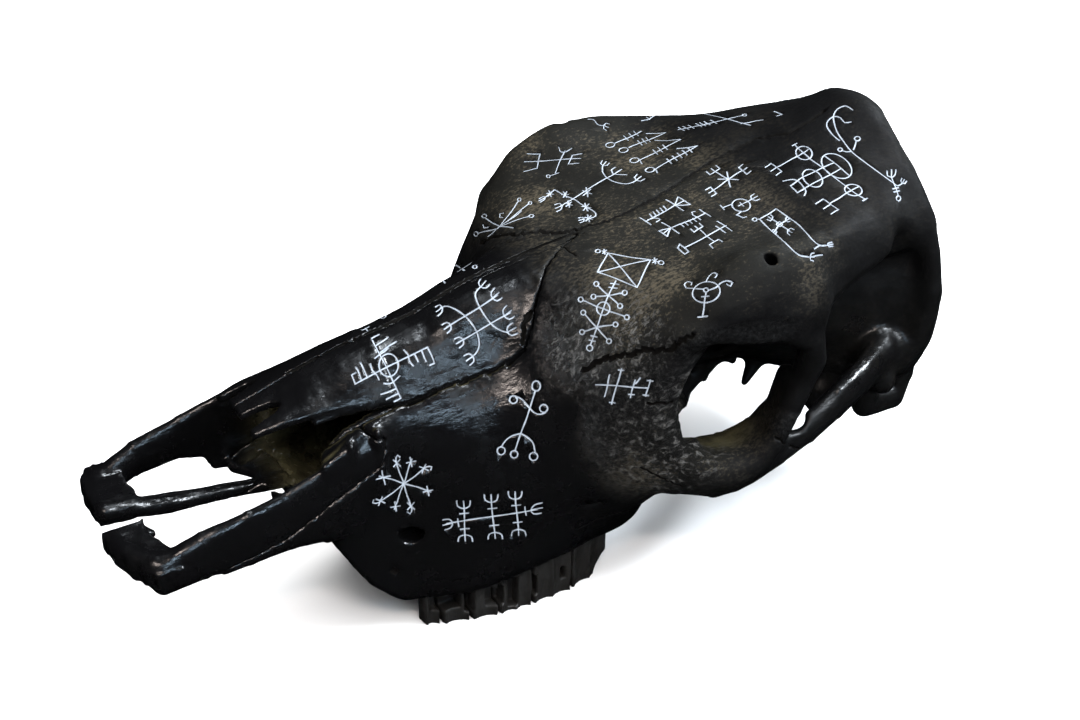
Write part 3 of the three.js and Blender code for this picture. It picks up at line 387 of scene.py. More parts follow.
face = loft([
  [100, 0, 138, 12, 134, 22, 128, 31, 118, 36, 105, 37, 94, 36, 79, 33, 67, 29, 66, 20, 70, 0, 72],
  [122, 0, 145, 13, 141, 24, 128, 33, 117, 37, 100, 38, 86, 38, 66, 38, 33, 31, 33, 23, 52, 0, 60],
  [140, 0, 148, 14, 143, 26, 127, 35, 114, 39, 94, 41, 72, 42, 46, 42, 20.5, 31, 20.5, 24, 42, 0, 48],
  [165, 0, 152, 15, 147, 28, 129, 40, 113, 47, 93, 51, 72, 53, 48, 53, 21, 35, 21, 27, 36, 0, 42],
  [190, 0, 160, 16, 155, 30, 132, 45, 116, 54, 96, 60, 75, 61, 52, 57, 24, 37, 24, 28, 34, 0, 40],
  [215, 0, 165, 18, 161, 35, 143, 55, 126, 65, 106, 70, 86, 65, 56, 57, 26, 37, 26, 28, 34, 0, 40],
  [240, 0, 168, 24, 166, 52, 156, 73, 144, 82, 124, 84, 101, 74, 62, 54, 28, 35, 28, 26, 36, 0, 42],
  [256, 0, 168, 30, 167, 60, 162, 83, 154, 89, 132, 89, 106, 82, 68, 52, 36, 33, 38, 22, 44, 0, 46],
  [270, 0, 170, 30, 169, 62, 168, 87, 162, 90, 134, 90, 106, 85, 70, 50, 50, 32, 46, 21, 48, 0, 50],
  [290, 0, 172, 30, 171, 60, 168, 80, 160, 74, 134, 64, 108, 52, 86, 36, 68, 28, 62, 20, 62, 0, 64],
])

forehead = loft([
  [226, 0, 163, 20, 161, 34, 154, 42, 148, 38, 144, 20, 146, 0, 148],
  [244, 0, 168, 30, 167, 56, 160, 72, 150, 68, 142, 32, 148, 0, 148],
  [262, 0, 170, 34, 169, 65, 167, 84, 165, 90, 150, 38, 148, 0, 146],
  [280, 0, 173, 35, 172, 64, 172, 89, 178, 97, 156, 40, 147, 0, 146],
  [302, 0, 177, 35, 176, 62, 177, 89, 185, 101, 153, 42, 146, 0, 146],
  [325, 0, 180, 35, 178, 62, 177, 90, 183.5, 101, 146, 46, 146, 0, 146],
  [345, 0, 184, 35, 182, 62, 178, 86, 181, 94, 148, 50, 145, 0, 146],
  [370, 0, 189, 35, 188, 60, 183, 80, 176, 86, 153, 50, 140, 0, 146],
  [400, 0, 195, 35, 191, 58, 183, 74, 171, 78, 155, 50, 140, 0, 146],
  [424, 0, 200, 25, 194, 46, 186, 64, 171, 71, 155, 50, 140, 0, 146],
  [434, 0, 198, 20, 193, 40, 184, 58, 168, 66, 155, 50, 140, 0, 146],
])

braincase = loft([
  [262, 0, 152, 20, 150, 25, 132, 24, 108, 22, 86, 19, 66, 0, 60],
  [290, 0, 152, 22, 150, 28, 134, 27, 112, 24, 94, 20, 76, 0, 72],
  [315, 0, 152, 28, 150, 36, 136, 36, 114, 31, 98, 22, 86, 0, 82],
  [340, 0, 152, 32, 150, 44, 138, 46, 118, 41, 102, 26, 88, 0, 80],
  [370, 0, 152, 36, 150, 51, 138, 54, 116, 50, 96, 34, 76, 0, 68],
  [405, 0, 152, 42, 150, 60, 138, 65, 112, 62, 84, 44, 62, 0, 56],
  [430, 0, 170, 45, 160, 70, 138, 75, 112, 70, 78, 48, 60, 0, 54],
])

orbit_rim = bar([
  [262, 88, 152, 5, 5], [258, 85, 139, 5, 5], [253, 84, 127, 5, 5], [246, 83, 117, 5, 5],
  [250, 86, 104, 5, 5], [261, 90, 89, 5, 6], [278, 94, 73.5, 5, 6], [293, 95, 69.5, 5, 6],
  [305, 95, 72, 5, 5], [314, 96, 83, 5, 5],
  [320, 96, 95, 5, 5], [328, 97, 110, 5, 5], [333, 99, 125, 5, 5], [328, 100, 137, 5, 5],
  [313, 99, 145, 4, 4], [294, 97, 149, 4, 4], [276, 93, 152, 4, 4],
  [262, 88, 152, 5, 5],
])

postorbital_plate = bar([
  [322, 97, 152, 7, 9], [332, 95, 150, 7, 12], [334, 96, 137, 4.5, 8], [331, 97, 124, 4, 4],
])

zygomatic_arch = bar([
  [250, 74, 84, 12, 14], [266, 82, 74, 10, 13], [284, 88, 67, 8, 12], [303, 91, 67, 6, 9],
  [322, 91, 71, 5, 8], [342, 89, 77, 5, 9],
  [362, 86, 84, 5, 10], [384, 79, 89, 6, 10], [404, 70, 91, 7, 11],
])

orbit_floor = bar([
  [264, 74, 83, 13, 7], [282, 78, 75.5, 16, 5], [300, 81, 75, 15, 4.5], [314, 84, 82, 12, 4],
  [324, 87, 94, 9, 5], [327, 88, 112, 7, 5],
])
temple_root = ellipsoid([407, 66, 88], [16, 10, 11])
ear_tube = bar([[402, 60, 76, 8, 8], [402, 76, 78, 6, 6]])
bulla = ellipsoid([392, 42, 58], [13, 9, 13])
condyle = ellipsoid([427, 24, 70], [13, 11, 18])
paracondylar = bar([
  [405, 60, 74, 7, 14], [405, 60, 55.5, 6.5, 8], [426, 60, 54, 6, 8], [431, 60, 70, 6, 10],
])
skull_base = bar([[300, 0, 82, 11, 5], [340, 0, 84, 10, 5], [380, 0, 69, 12, 5], [425, 0, 58, 15, 5]])
poll = bar([[400, 0, 180, 22, 13], [427, 0, 191, 20, 15]])
nuchal_crest = bar([
  [429, 0, 196, 6, 6], [430, 12, 195, 6, 6], [430, 24, 188.5, 6, 6], [428, 45, 177, 6, 6],
  [427, 63, 164, 5, 5], [428, 73, 146, 5, 5],
  [429, 76, 124, 5, 5], [426, 73, 98, 6, 6], [419, 67, 80, 7, 7],
])
nuchal_dish = ellipsoid([459, 0, 140], [28, 60, 46])
nuchal_knob = bar([[428, 0, 158, 6, 7], [430, 0, 138, 4, 8]])
pterygoid_plate = bar([
  [262, 20, 56, 3, 14], [282, 20, 62, 2.6, 14], [300, 21, 68, 2.6, 13], [314, 22, 74, 3, 12],
  [326, 22, 83, 3, 9], [338, 21, 89, 3, 5],
])
pterygoid_spike = bar([
  [368, 18, 84, 5, 6], [360, 21, 75, 4.5, 5], [352, 24, 67, 2.2, 2.2],
])
alveolar_tuber = ellipsoid([252, 45, 42], [18, 14, 16])

orbit_hollow = bar([
  [285, 132, 118, 37, 35], [292, 98, 115, 34, 33], [303, 72, 115, 29, 29], [314, 50, 112, 20, 20],
  [324, 34, 106, 9, 9],
])
temple_hollow = bar([
  [346, 84, 118, 20, 24], [372, 78, 124, 18, 22], [394, 77, 132, 13, 21], [406, 80, 148, 12, 19],
])
undercut_behind_molars = bar([[286, 46, 40, 20, 20], [300, 56, 52, 24, 22], [316, 60, 70, 24, 20]])

nasal_plate = loft([
  [71, 0, 131, 5, 130.5, 14, 128.5, 20, 126.5, 19.5, 123, 10, 126, 0, 127],
  [88, 0, 136, 6, 135.5, 14, 133, 22, 129.5, 21, 125.5, 10, 130, 0, 131.5],
  [104, 0, 141, 7, 140, 15, 136.5, 23, 130, 21.5, 126, 10, 133, 0, 136],
  [122, 0, 145, 8, 143.5, 16, 139, 25, 128.5, 22, 126, 10, 136, 0, 140],
  [140, 0, 148, 8, 146.5, 17, 141, 27, 126, 23, 125, 10, 139, 0, 142],
])
nasal_notch = bar([
  [58, 12, 134, 7, 12], [76, 12, 134, 4.6, 12], [84, 12, 134, 3, 12], [88, 12, 134, 1, 12],
])
nasal_hollow = loft([
  [50, 0, 128, 12, 125, 21, 118, 27, 108, 29, 94, 28, 74, 16, 56, 0, 50],
  [100, 0, 133, 12, 129, 20, 121, 27, 110, 30, 95, 29, 80, 17, 78, 0, 78],
  [122, 0, 140, 12, 135, 21, 123, 29, 110, 31, 94, 29, 78, 20, 66, 0, 65],
  [140, 0, 143, 12, 138, 22, 123, 31, 110, 33, 92, 29, 72, 21, 56, 0, 54],
  [165, 0, 147, 13, 141, 24, 125, 33, 109, 36, 90, 30, 70, 22, 52, 0, 48],
  [190, 0, 154, 14, 148, 25, 129, 35, 112, 38, 92, 31, 70, 22, 51, 0, 46],
  [215, 0, 158, 16, 151, 27, 134, 36, 117, 39, 96, 30, 70, 21, 51, 0, 46],
  [240, 0, 156, 15, 150, 24, 134, 30, 118, 31, 96, 25, 68, 19, 51, 0, 48],
  [262, 0, 148, 12, 143, 19, 130, 21, 112, 20, 92, 17, 68, 14, 50, 0, 48],
  [292, 0, 136, 8, 132, 13, 120, 15, 108, 14, 98, 12, 90, 8, 86, 0, 84],
])
cheek_sinus = ellipsoid([254, 58, 120], [13, 22, 30])
deep_sinus = ellipsoid([274, 38, 114], [19, 24, 32])
choana = block([254, -1, 20], [330, 14, 78])
brain_hollow = loft([
  [300, 0, 140, 8, 139, 14, 132, 16, 120, 14, 110, 8, 103, 0, 101],
  [318, 0, 143, 12, 142, 22, 134, 25, 120, 22, 108, 12, 99, 0, 96],
  [340, 0, 146, 29, 145, 39, 134, 41, 118, 36, 105, 22, 95, 0, 90],
  [370, 0, 147, 33, 146, 46, 134, 49, 116, 45, 99, 30, 82, 0, 75],
  [402, 0, 147, 39, 145, 55, 134, 60, 112, 57, 89, 39, 68, 0, 62],
  [425, 0, 147, 42, 145, 62, 133, 67, 112, 62, 88, 37, 71, 0, 65],
])
foramen_magnum = bar([[414, 0, 92, 15, 14], [450, 0, 88, 16, 15]])

supraorbital_foramen = bar([[305, 92, 190, 3.4, 3.4], [311, 88, 175, 3, 3], [316, 84, 166, 3, 3]])
infraorbital_foramen = bar([[127, 47, 61.5, 5, 4.5], [141, 39, 57, 4.5, 4], [151, 36, 57, 4, 4]])
orbit_drain = bar([[267, 85, 98, 6, 6], [277, 72, 91, 9, 6], [284, 60, 84, 9, 8], [296, 42, 66, 9, 9]])
arch_window = bar([[329, 106, 92.5, 8, 5.5], [330, 90, 86, 8, 5.5], [345, 72, 75, 9, 7]])
nose_wedge = bar([
  [98, 40, 117, 24, 9], [112, 40, 121, 24, 5], [125, 40, 122.5, 24, 2.8], [138, 40, 123, 24, 0.8],
])
palate_front = bar([[96, 18, 79, 17, 3], [86, 16, 79.5, 14, 2.6], [79, 26, 80, 8, 2.6]])
spike_root = bar([[338, 20, 91, 4, 4], [343, 24, 83, 2, 2]])

right_bar = bar([
  [16, 34, 89, 5.5, 8], [34, 37, 94, 4.5, 10], [58, 38, 98, 4.5, 12], [84, 37, 98, 4.5, 19],
  [108, 36, 97, 4, 26], [126, 36, 96, 4, 28],
])
right_front = bar([
  [12, 35, 89, 4.5, 6.5], [8, 24, 88.5, 4.5, 4.5], [7, 10, 88.5, 4.5, 4.5], [20, 10, 88.5, 4.5, 4.5],
  [21, 20, 88, 4.5, 4.5], [20, 31, 89, 5, 5], [12, 35, 89, 4.5, 6.5],
])
right_process = bar([
  [7, 8, 91, 5, 4.5], [34, 8, 85, 5, 4.5], [70, 8, 80.5, 4, 4], [96, 7, 77, 3.5, 4],
])
left_bar = bar([
  [16, -36, 79.5, 6.5, 10], [36, -36, 82.5, 5.5, 12.5], [58, -37, 85.5, 5, 14], [80, -36, 88, 4.5, 15],
  [98, -36, 90, 4, 20], [112, -36, 91, 4, 25], [126, -36, 93.5, 4, 27],
])
left_front = bar([
  [2.6, -14, 89.5, 5, 4.5], [4.2, -24, 87, 6, 6], [12, -33, 83, 7, 8], [20, -34, 81, 6, 8],
  [17, -24, 86, 5, 5], [12, -14, 88, 5, 4], [2.6, -14, 89.5, 5, 4.5],
])
right_plate = bar([[13, 14, 88.5, 5, 4.2], [14, 28, 88.5, 5, 5.4]])
left_plate = bar([[10, -18, 87.5, 5, 4.4], [14, -29, 83, 6, 7]])
left_stub = bar([[8, -13, 89, 4, 4], [17, -11, 88, 3.2, 3], [21, -13, 86, 2, 2]])
INCISIVE_SHAPES = [
    right_bar, right_front, right_plate, right_process, left_bar, left_front, left_plate, left_stub,
]
maxilla_tongue_right = bar([[74, 36, 82, 2.6, 6], [92, 36, 84, 3, 11], [112, 36, 84, 4, 16]])
maxilla_tongue_left = bar([[46, -36, 74, 2.6, 4], [80, -36, 77, 3, 6], [112, -36, 82, 4, 16]])


# A shallow pit on the left brow

brow_pit = ellipsoid([349, -82, 184], [4.5, 4.0, 3.6])


def skull_half(grid):
    """Adds and cuts what is alike on both sides, in the order in which it blends."""
    grid.add(face, 1)
    grid.add(forehead, 5)
    grid.add(braincase, 8)
    grid.add(alveolar_tuber, 10)
    grid.add(poll, 14)
    grid.add(skull_base, 6)
    grid.cut(orbit_hollow, 4)
    grid.cut(undercut_behind_molars, 6)
    grid.cut(temple_hollow, 6)
    grid.add(orbit_floor, 8)
    grid.add(orbit_rim, 7)
    grid.add(postorbital_plate, 9)
    grid.add(zygomatic_arch, 8)
    grid.add(nuchal_crest, 10)
    grid.cut(nuchal_dish, 8)
    grid.add(nuchal_knob, 8)
    grid.add(temple_root, 8)
    grid.add(ear_tube, 6)
    grid.add(bulla, 6)
    grid.add(paracondylar, 6)
    grid.add(condyle, 6)
    grid.cut(nasal_hollow, 2)
    grid.cut(cheek_sinus, 2)
    grid.cut(deep_sinus, 2)
    grid.add(nasal_plate, 2)
    grid.cut(nasal_notch, 1)
    grid.add(pterygoid_plate, 4)
    grid.cut(choana, 2)
    grid.add(pterygoid_spike, 4)
    grid.add(spike_root, 4)
    grid.add(palate_front, 2)
    grid.cut(brain_hollow, 2)
    grid.cut(foramen_magnum, 3)
    grid.cut(supraorbital_foramen, 1)
    grid.cut(infraorbital_foramen, 2)
    grid.cut(orbit_drain, 3)
    grid.cut(arch_window, 2)
    grid.cut(nose_wedge, 1)


def front_of_snout(grid):
    """The incisive bones and the tongues of the maxilla that run along them."""
    for shape in INCISIVE_SHAPES:
        grid.add(shape, 3)
    for shape in (maxilla_tongue_right, maxilla_tongue_left):
        grid.add(shape, 4)


# The sutures: outlines seen from above (nasal bones) and from the side (incisive bones)

NASAL_SUTURE = [
    [58, 0], [58, 27.5], [128, 27.5], [150, 29], [170, 30], [188, 31.5], [207, 34.5], [213, 31],
    [221, 24], [232, 15], [246, 7], [260, 0],
]
NASAL_LOWEST = 112
INCISIVE_SUTURE = [
    [-20, 40], [30, 50], [44, 73], [60, 76.5], [74, 78.5], [84, 82.5], [97, 89.5], [109, 94.5],
    [119, 98.5], [127, 102],
    [130, 112], [121, 118], [112, 124], [100, 129], [60, 122], [-20, 122],
]


# The flat front ends of the incisive bones: outline, height at y = 0, its slope and half the thickness

FRONT_PLATES = [
    ([[3.5, 6], [4, 22], [6, 34], [10, 41], [20, 42], [25, 32], [24, 12], [20, 4], [3.5, 6]],
     88.0, 0.06, 4.4),
    ([[-2, -11], [-0.5, -22], [3, -32], [11, -42], [24, -43], [26, -34], [20, -26], [17, -18],
      [19, -10], [-2, -11]], 93.0, -0.3, 4.4),
]

# The chips broken out of them: x, y, z and reach

FRONT_CHIPS = [
    (0.0, 10, 88, 2.6), (1.0, 15.5, 88, 1.8), (0.4, 21, 88, 2.8), (2.0, 27, 88, 2.0),
    (2.5, 33, 88, 3.0), (7.0, 41, 90, 3.2), (-4.0, -17, 88, 2.6), (-2.6, -23, 86, 2.0),
    (-0.6, -28.5, 84, 2.8), (4.0, -35.5, 82, 2.6), (8.0, -41.0, 76, 3.2), (15.0, -44.0, 72, 3.4),
]


def ragged(line, spacing, amount, seed):
    """The open line with points at the spacing, each moved sideways by up to the amount."""
    random = np.random.default_rng(seed)
    line = np.asarray(line, float)
    points = []
    for a, b in zip(line[:-1], line[1:]):
        length = np.linalg.norm(b - a)
        steps = max(1, int(length / spacing))
        side = np.array([b[1] - a[1], a[0] - b[0]]) / max(length, 1e-9)
        for i in range(steps):
            shift = 0.0 if i == 0 else random.uniform(-amount, amount)
            points.append(a + (b - a) * i / steps + side * shift)
    return np.array(points + [line[-1]])


def nasal_slab(side, grow):
    outline = ragged(NASAL_SUTURE, spacing=2.2, amount=0.5, seed=11 if side == "right" else 12)
    outline[:, 1] = np.maximum(outline[:, 1], 0.0)
    shape = slab(outline, 2, NASAL_LOWEST, SKULL_HEIGHT, grow)
    return shape if side == "right" else mirrored(shape)


def incisive_slab(grow):
    return slab(ragged(INCISIVE_SUTURE, spacing=2.5, amount=0.6, seed=21), 1, -70, 70, grow)


def half_space(side):
    low, high = (0.3, 200.0) if side == "right" else (-200.0, -0.3)
    return block([-100, low, -100], [600, high, 400])


# The cheek teeth: front and back end, the cheek and tongue side at both ends, ribs and full height

TOOTH_ROW = [
    ("premolar_2", 146.0, 153.6, (41.5, 44.0), (32.0, 32.5), 1, 44.0),
    ("premolar_3", 154.4, 167.6, (45.5, 49.0), (33.0, 34.0), 1, 50.0),
    ("premolar_4", 168.4, 181.6, (50.0, 53.0), (34.5, 35.5), 1, 60.0),
    ("molar_1", 182.4, 200.1, (53.5, 55.0), (36.0, 35.5), 2, 60.0),
    ("molar_2", 200.9, 223.6, (55.0, 54.5), (35.5, 35.0), 2, 60.0),
    ("molar_3", 224.4, 248.8, (54.0, 48.5), (35.0, 35.5), 2, 60.0),
]

# Gaps broken into the cheek side of the left teeth: from and to x, bottom, top, and how deep in y

TOOTH_GAPS = [
    (149.0, 163.5, 8.0, 17.0, 38.0),
    (165.0, 169.5, 5.0, 17.0, 42.0),
    (175.5, 184.5, 6.0, 17.0, 45.0),
    (187.0, 192.5, 2.5, 20.0, 47.0),
    (200.5, 203.5, 5.0, 17.0, 48.0),
    (218.0, 220.5, 8.0, 15.0, 48.0),
]
WORN_HEEL = bar([[243, -45, -6, 30, 5], [256, -45, 12, 30, 7]])
RIB_DEPTH = 1.9
RIB_STEPS = 10
CORNER_CUT = 1.6


def tooth_outline(start, end, cheek, tongue, ribs):
    """A crown seen from below: ribs on the cheek side, and corners cut off."""
    def across(pair, x):
        return pair[0] + (pair[1] - pair[0]) * (x - start) / (end - start)

    outline = []
    steps = ribs * RIB_STEPS
    for i in range(steps + 1):
        x = start + CORNER_CUT * 0.6 + (end - start - CORNER_CUT * 1.2) * i / steps
        dip = RIB_DEPTH * abs(math.sin(math.pi * ribs * i / steps)) ** 0.7
        outline.append([x, across(cheek, x) - dip])
    outline.append([end, across(cheek, end) - CORNER_CUT * 1.5])
    outline.append([end, across(tongue, end) + CORNER_CUT])
    outline.append([end - CORNER_CUT, across(tongue, end)])
    outline.append([(start + end) / 2, across(tongue, (start + end) / 2) - 0.6])
    outline.append([start + CORNER_CUT, across(tongue, start)])
    outline.append([start, across(tongue, start) + CORNER_CUT])
    outline.append([start, across(cheek, start) - CORNER_CUT * 1.5])
    return outline


# Smooth random values in space, the same on each run


class Noise:
    CELLS = 32

    def __init__(self, seed):
        self.table = np.random.default_rng(seed).uniform(-1.0, 1.0, (self.CELLS,) * 3)

    def at(self, points, size):
        """Values about -1 to 1 at the points; size is the grain in millimetres, one number or three."""
        q = points / np.asarray(size, float) + 500.5
        cell = np.floor(q).astype(int)
        t = q - cell
        t = t * t * (3 - 2 * t)
        total = 0.0
        for corner in np.ndindex(2, 2, 2):
            weight = np.prod(np.where(corner, t, 1 - t), axis=1)
            i, j, k = ((cell + corner) % self.CELLS).T
            total = total + weight * self.table[i, j, k]
        return total


def smoothstep(low, high, x):
    t = np.clip((x - low) / (high - low), 0.0, 1.0)
    return t * t * (3 - 2 * t)


def blob(points, centre, radii):
    """1 in the middle of the ellipsoid, 0 outside it."""
    q = np.linalg.norm((points - np.asarray(centre, float)) / np.asarray(radii, float), axis=1)
    return 1.0 - smoothstep(0.3, 1.0, q)


# Meshes in modelling millimetres


def mesh_object(name, points, faces):
    mesh = bpy.data.meshes.new(name)
    faces = np.asarray(faces, int)
    mesh.vertices.add(len(points))
    mesh.vertices.foreach_set("co", np.asarray(points, np.float32).ravel())
    mesh.loops.add(faces.size)
    mesh.loops.foreach_set("vertex_index", faces.ravel())
    mesh.polygons.add(len(faces))
    mesh.polygons.foreach_set("loop_start", np.arange(0, faces.size, faces.shape[1]))
    mesh.update(calc_edges=True)
    piece = bpy.data.objects.new(name, mesh)
    bpy.context.scene.collection.objects.link(piece)
    return piece


def triples(values, name):
    """The named three numbers of each value as one array."""
    numbers = np.empty(len(values) * 3, np.float32)
    values.foreach_get(name, numbers)
    return numbers.reshape(-1, 3).astype(float)


def points_of(piece):
    return triples(piece.data.vertices, "co")


def normals_of(piece):
    return triples(piece.data.vertex_normals, "vector")


def set_points(piece, points):
    piece.data.vertices.foreach_set("co", np.asarray(points, np.float32).ravel())
    piece.data.update()


def apply_modifiers(piece):
    graph = bpy.context.evaluated_depsgraph_get()
    mesh = bpy.data.meshes.new_from_object(piece.evaluated_get(graph))
    piece.modifiers.clear()
    old = piece.data
    piece.data = mesh
    bpy.data.meshes.remove(old)


def thin(piece, triangles):
    """Collapses edges until about that many triangles are left."""
    present = sum(len(p.vertices) - 2 for p in piece.data.polygons)
    if present <= triangles:
        return
    decimate = piece.modifiers.new("thin", "DECIMATE")
    decimate.ratio = triangles / present
    apply_modifiers(piece)


def roughen(piece):
    """Moves the surface of the bone in and out."""
    points = points_of(piece)
    rough = spongy_zone(points)
    move = 0.45 * Noise(31).at(points, 24.0)
    move += 0.2 * Noise(32).at(points, 9.0)
    move += (0.12 + 0.5 * rough) * Noise(33).at(points, 3.6)
    move += 0.5 * rough * Noise(34).at(points, (9.0, 2.6, 2.6))
    set_points(piece, points + normals_of(piece) * move[:, None])


# Where the bone is spongy


def spongy_zone(points):
    zone = blob(points, (240, -84, 112), (44, 26, 44))
    zone = np.maximum(zone, 0.7 * blob(points, (285, -96, 150), (60, 16, 14)))
    zone = np.maximum(zone, 0.8 * blob(points, (322, -94, 92), (14, 16, 10)))
    return zone


# The pieces


def build_cranium():
    half = Grid([-6, 0, -4], [446, 112, 214], CRANIUM_STEP)
    skull_half(half)
    grid = half.both_sides()
    front_of_snout(grid)
    grid.cut(brow_pit, 1.5)
    for side in ("left", "right"):
        grid.cut(nasal_slab(side, SUTURE_GAP), SUTURE_BLEND)
    grid.cut(incisive_slab(SUTURE_GAP), SUTURE_BLEND)
    for _, start, end, cheek, tongue, ribs, root in TOOTH_ROW:
        socket = slab(tooth_outline(start, end, cheek, tongue, ribs), 2, -2, root, SOCKET_GAP)
        grid.cut(socket, 0.6)
        grid.cut(mirrored(socket), 0.6)
    piece = mesh_object("cranium_bone", *grid.surface())
    thin(piece, CRANIUM_TRIANGLES)
    roughen(piece)
    return piece


def build_nasal_bones():
    half = Grid([50, 0, 104], [268, 42, 178], SMALL_BONE_STEP)
    skull_half(half)
    pieces = {}
    for side in ("left", "right"):
        grid = half.both_sides()
        grid.keep(nasal_slab(side, SUTURE_SET_BACK))
        grid.keep(half_space(side))
        pieces[side] = mesh_object(f"nasal_bone_{side}_shape", *grid.surface())
        roughen(pieces[side])
    return pieces


def build_incisive_bones():
    half = Grid([-8, 0, 54], [142, 50, 136], SMALL_BONE_STEP)
    skull_half(half)
    whole = half.both_sides()
    front_of_snout(whole)
    for outline, level, tilt, half_thickness in FRONT_PLATES:
        edge = ragged(outline, spacing=2.4, amount=0.7, seed=51)
        whole.add(plate(edge, level, tilt, half_thickness), 1.0)
    for x, y, z, reach in FRONT_CHIPS:
        whole.cut(ellipsoid([x, y, z], [reach, reach * 0.8, reach * 4]), 0.6)
    whole.keep(incisive_slab(SUTURE_SET_BACK))
    for side in ("left", "right"):
        whole.cut(nasal_slab(side, SUTURE_GAP), SUTURE_BLEND)
    pieces = {}
    shared = whole.values
    for side in ("left", "right"):
        whole.values = shared.copy()
        whole.keep(half_space(side))
        pieces[side] = mesh_object(f"incisive_bone_{side}_shape", *whole.surface())
        roughen(pieces[side])
    return pieces


def build_tooth(name, start, end, cheek, tongue, ribs, root, side):
    low = [start - 3, min(tongue) - 3, -2]
    high = [end + 3, max(cheek) + 3, root + 2]
    if side == "left":
        low[1], high[1] = -high[1], -low[1]
    grid = Grid(low, high, TOOTH_STEP)
    crown = slab(tooth_outline(start, end, cheek, tongue, ribs), 2, 0, root - 1)
    grid.add(crown if side == "right" else mirrored(crown), 0.5)
    if side == "left":
        if name == "molar_3":
            grid.cut(WORN_HEEL, 1.0)
        for gap_start, gap_end, bottom, top, inner in TOOTH_GAPS:
            grid.cut(block([gap_start, -inner - 30, bottom], [gap_end, -inner, top]), 1.0)
    piece = mesh_object(f"{name}_{side}_crown", *grid.surface())
    points = points_of(piece)
    wear = 0.35 * Noise(41).at(points, (4.0, 4.0, 7.0)) * smoothstep(0.0, 1.5, points[:, 2])
    set_points(piece, points + normals_of(piece) * wear[:, None] * [1.0, 1.0, 0.0])
    return piece


cranium = build_cranium()
nasal_bones = build_nasal_bones()
incisive_bones = build_incisive_bones()
teeth = {}
for tooth in TOOTH_ROW:
    for side in ("left", "right"):
        teeth[f"{tooth[0]}_{side}"] = build_tooth(*tooth, side)

# Materials


class Nodes:
    """Short ways to add shader nodes to a material."""

    def __init__(self, name):
        self.material = bpy.data.materials.new(name)
        self.material.use_nodes = True
        self.tree = self.material.node_tree
        self.shader = self.tree.nodes["Principled BSDF"]

    def add(self, kind, **settings):
        node = self.tree.nodes.new(kind)
        for key, value in settings.items():
            setattr(node, key, value)
        return node

    def link(self, output, target):
        self.tree.links.new(output, target)

    def noise(self, scale, detail=4.0, roughness=0.55, distortion=0.0, stretch=None):
        place = self.add("ShaderNodeTexCoord").outputs["Object"]
        if stretch is not None:
            mapping = self.add("ShaderNodeMapping")
            mapping.inputs["Scale"].default_value = stretch
            self.link(place, mapping.inputs["Vector"])
            place = mapping.outputs["Vector"]
        node = self.add("ShaderNodeTexNoise")
        node.inputs["Scale"].default_value = scale
        node.inputs["Detail"].default_value = detail
        node.inputs["Roughness"].default_value = roughness
        node.inputs["Distortion"].default_value = distortion
        self.link(place, node.inputs["Vector"])
        return node.outputs["Fac"]

    def zone(self, name):
        return self.add("ShaderNodeAttribute", attribute_name=name).outputs["Fac"]

    def fit(self, value, low, high, to_low=0.0, to_high=1.0):
        node = self.add("ShaderNodeMapRange", clamp=True, interpolation_type="SMOOTHSTEP")
        node.inputs["From Min"].default_value = low
        node.inputs["From Max"].default_value = high
        node.inputs["To Min"].default_value = to_low
        node.inputs["To Max"].default_value = to_high
        self.link(value, node.inputs["Value"])
        return node.outputs["Result"]

    def math(self, operation, a, b):
        node = self.add("ShaderNodeMath", operation=operation, use_clamp=False)
        for socket, value in zip(node.inputs, (a, b)):
            if isinstance(value, (int, float)):
                socket.default_value = value
            else:
                self.link(value, socket)
        return node.outputs["Value"]

    def mix(self, factor, a, b):
        node = self.add("ShaderNodeMix", data_type="RGBA")
        for name, value in (("Factor", factor), ("A", a), ("B", b)):
            if isinstance(value, (int, float, tuple)):
                node.inputs[name].default_value = value
            else:
                self.link(value, node.inputs[name])
        return node.outputs["Result"]

    def bump(self, height, distance, strength=1.0, before=None):
        node = self.add("ShaderNodeBump")
        node.inputs["Distance"].default_value = distance
        node.inputs["Strength"].default_value = strength
        self.link(height, node.inputs["Height"])
        if before is not None:
            self.link(before, node.inputs["Normal"])
        return node.outputs["Normal"]


BLACK = (0.0016, 0.0016, 0.0018, 1)
BROWN = (0.0080, 0.0079, 0.0068, 1)
GREY = (0.014, 0.0142, 0.0145, 1)
PALE_GREY = (0.11, 0.108, 0.104, 1)
TAN = (0.040, 0.034, 0.024, 1)
GOLD = (0.052, 0.046, 0.024, 1)
DARK_GOLD = (0.012, 0.0105, 0.006, 1)


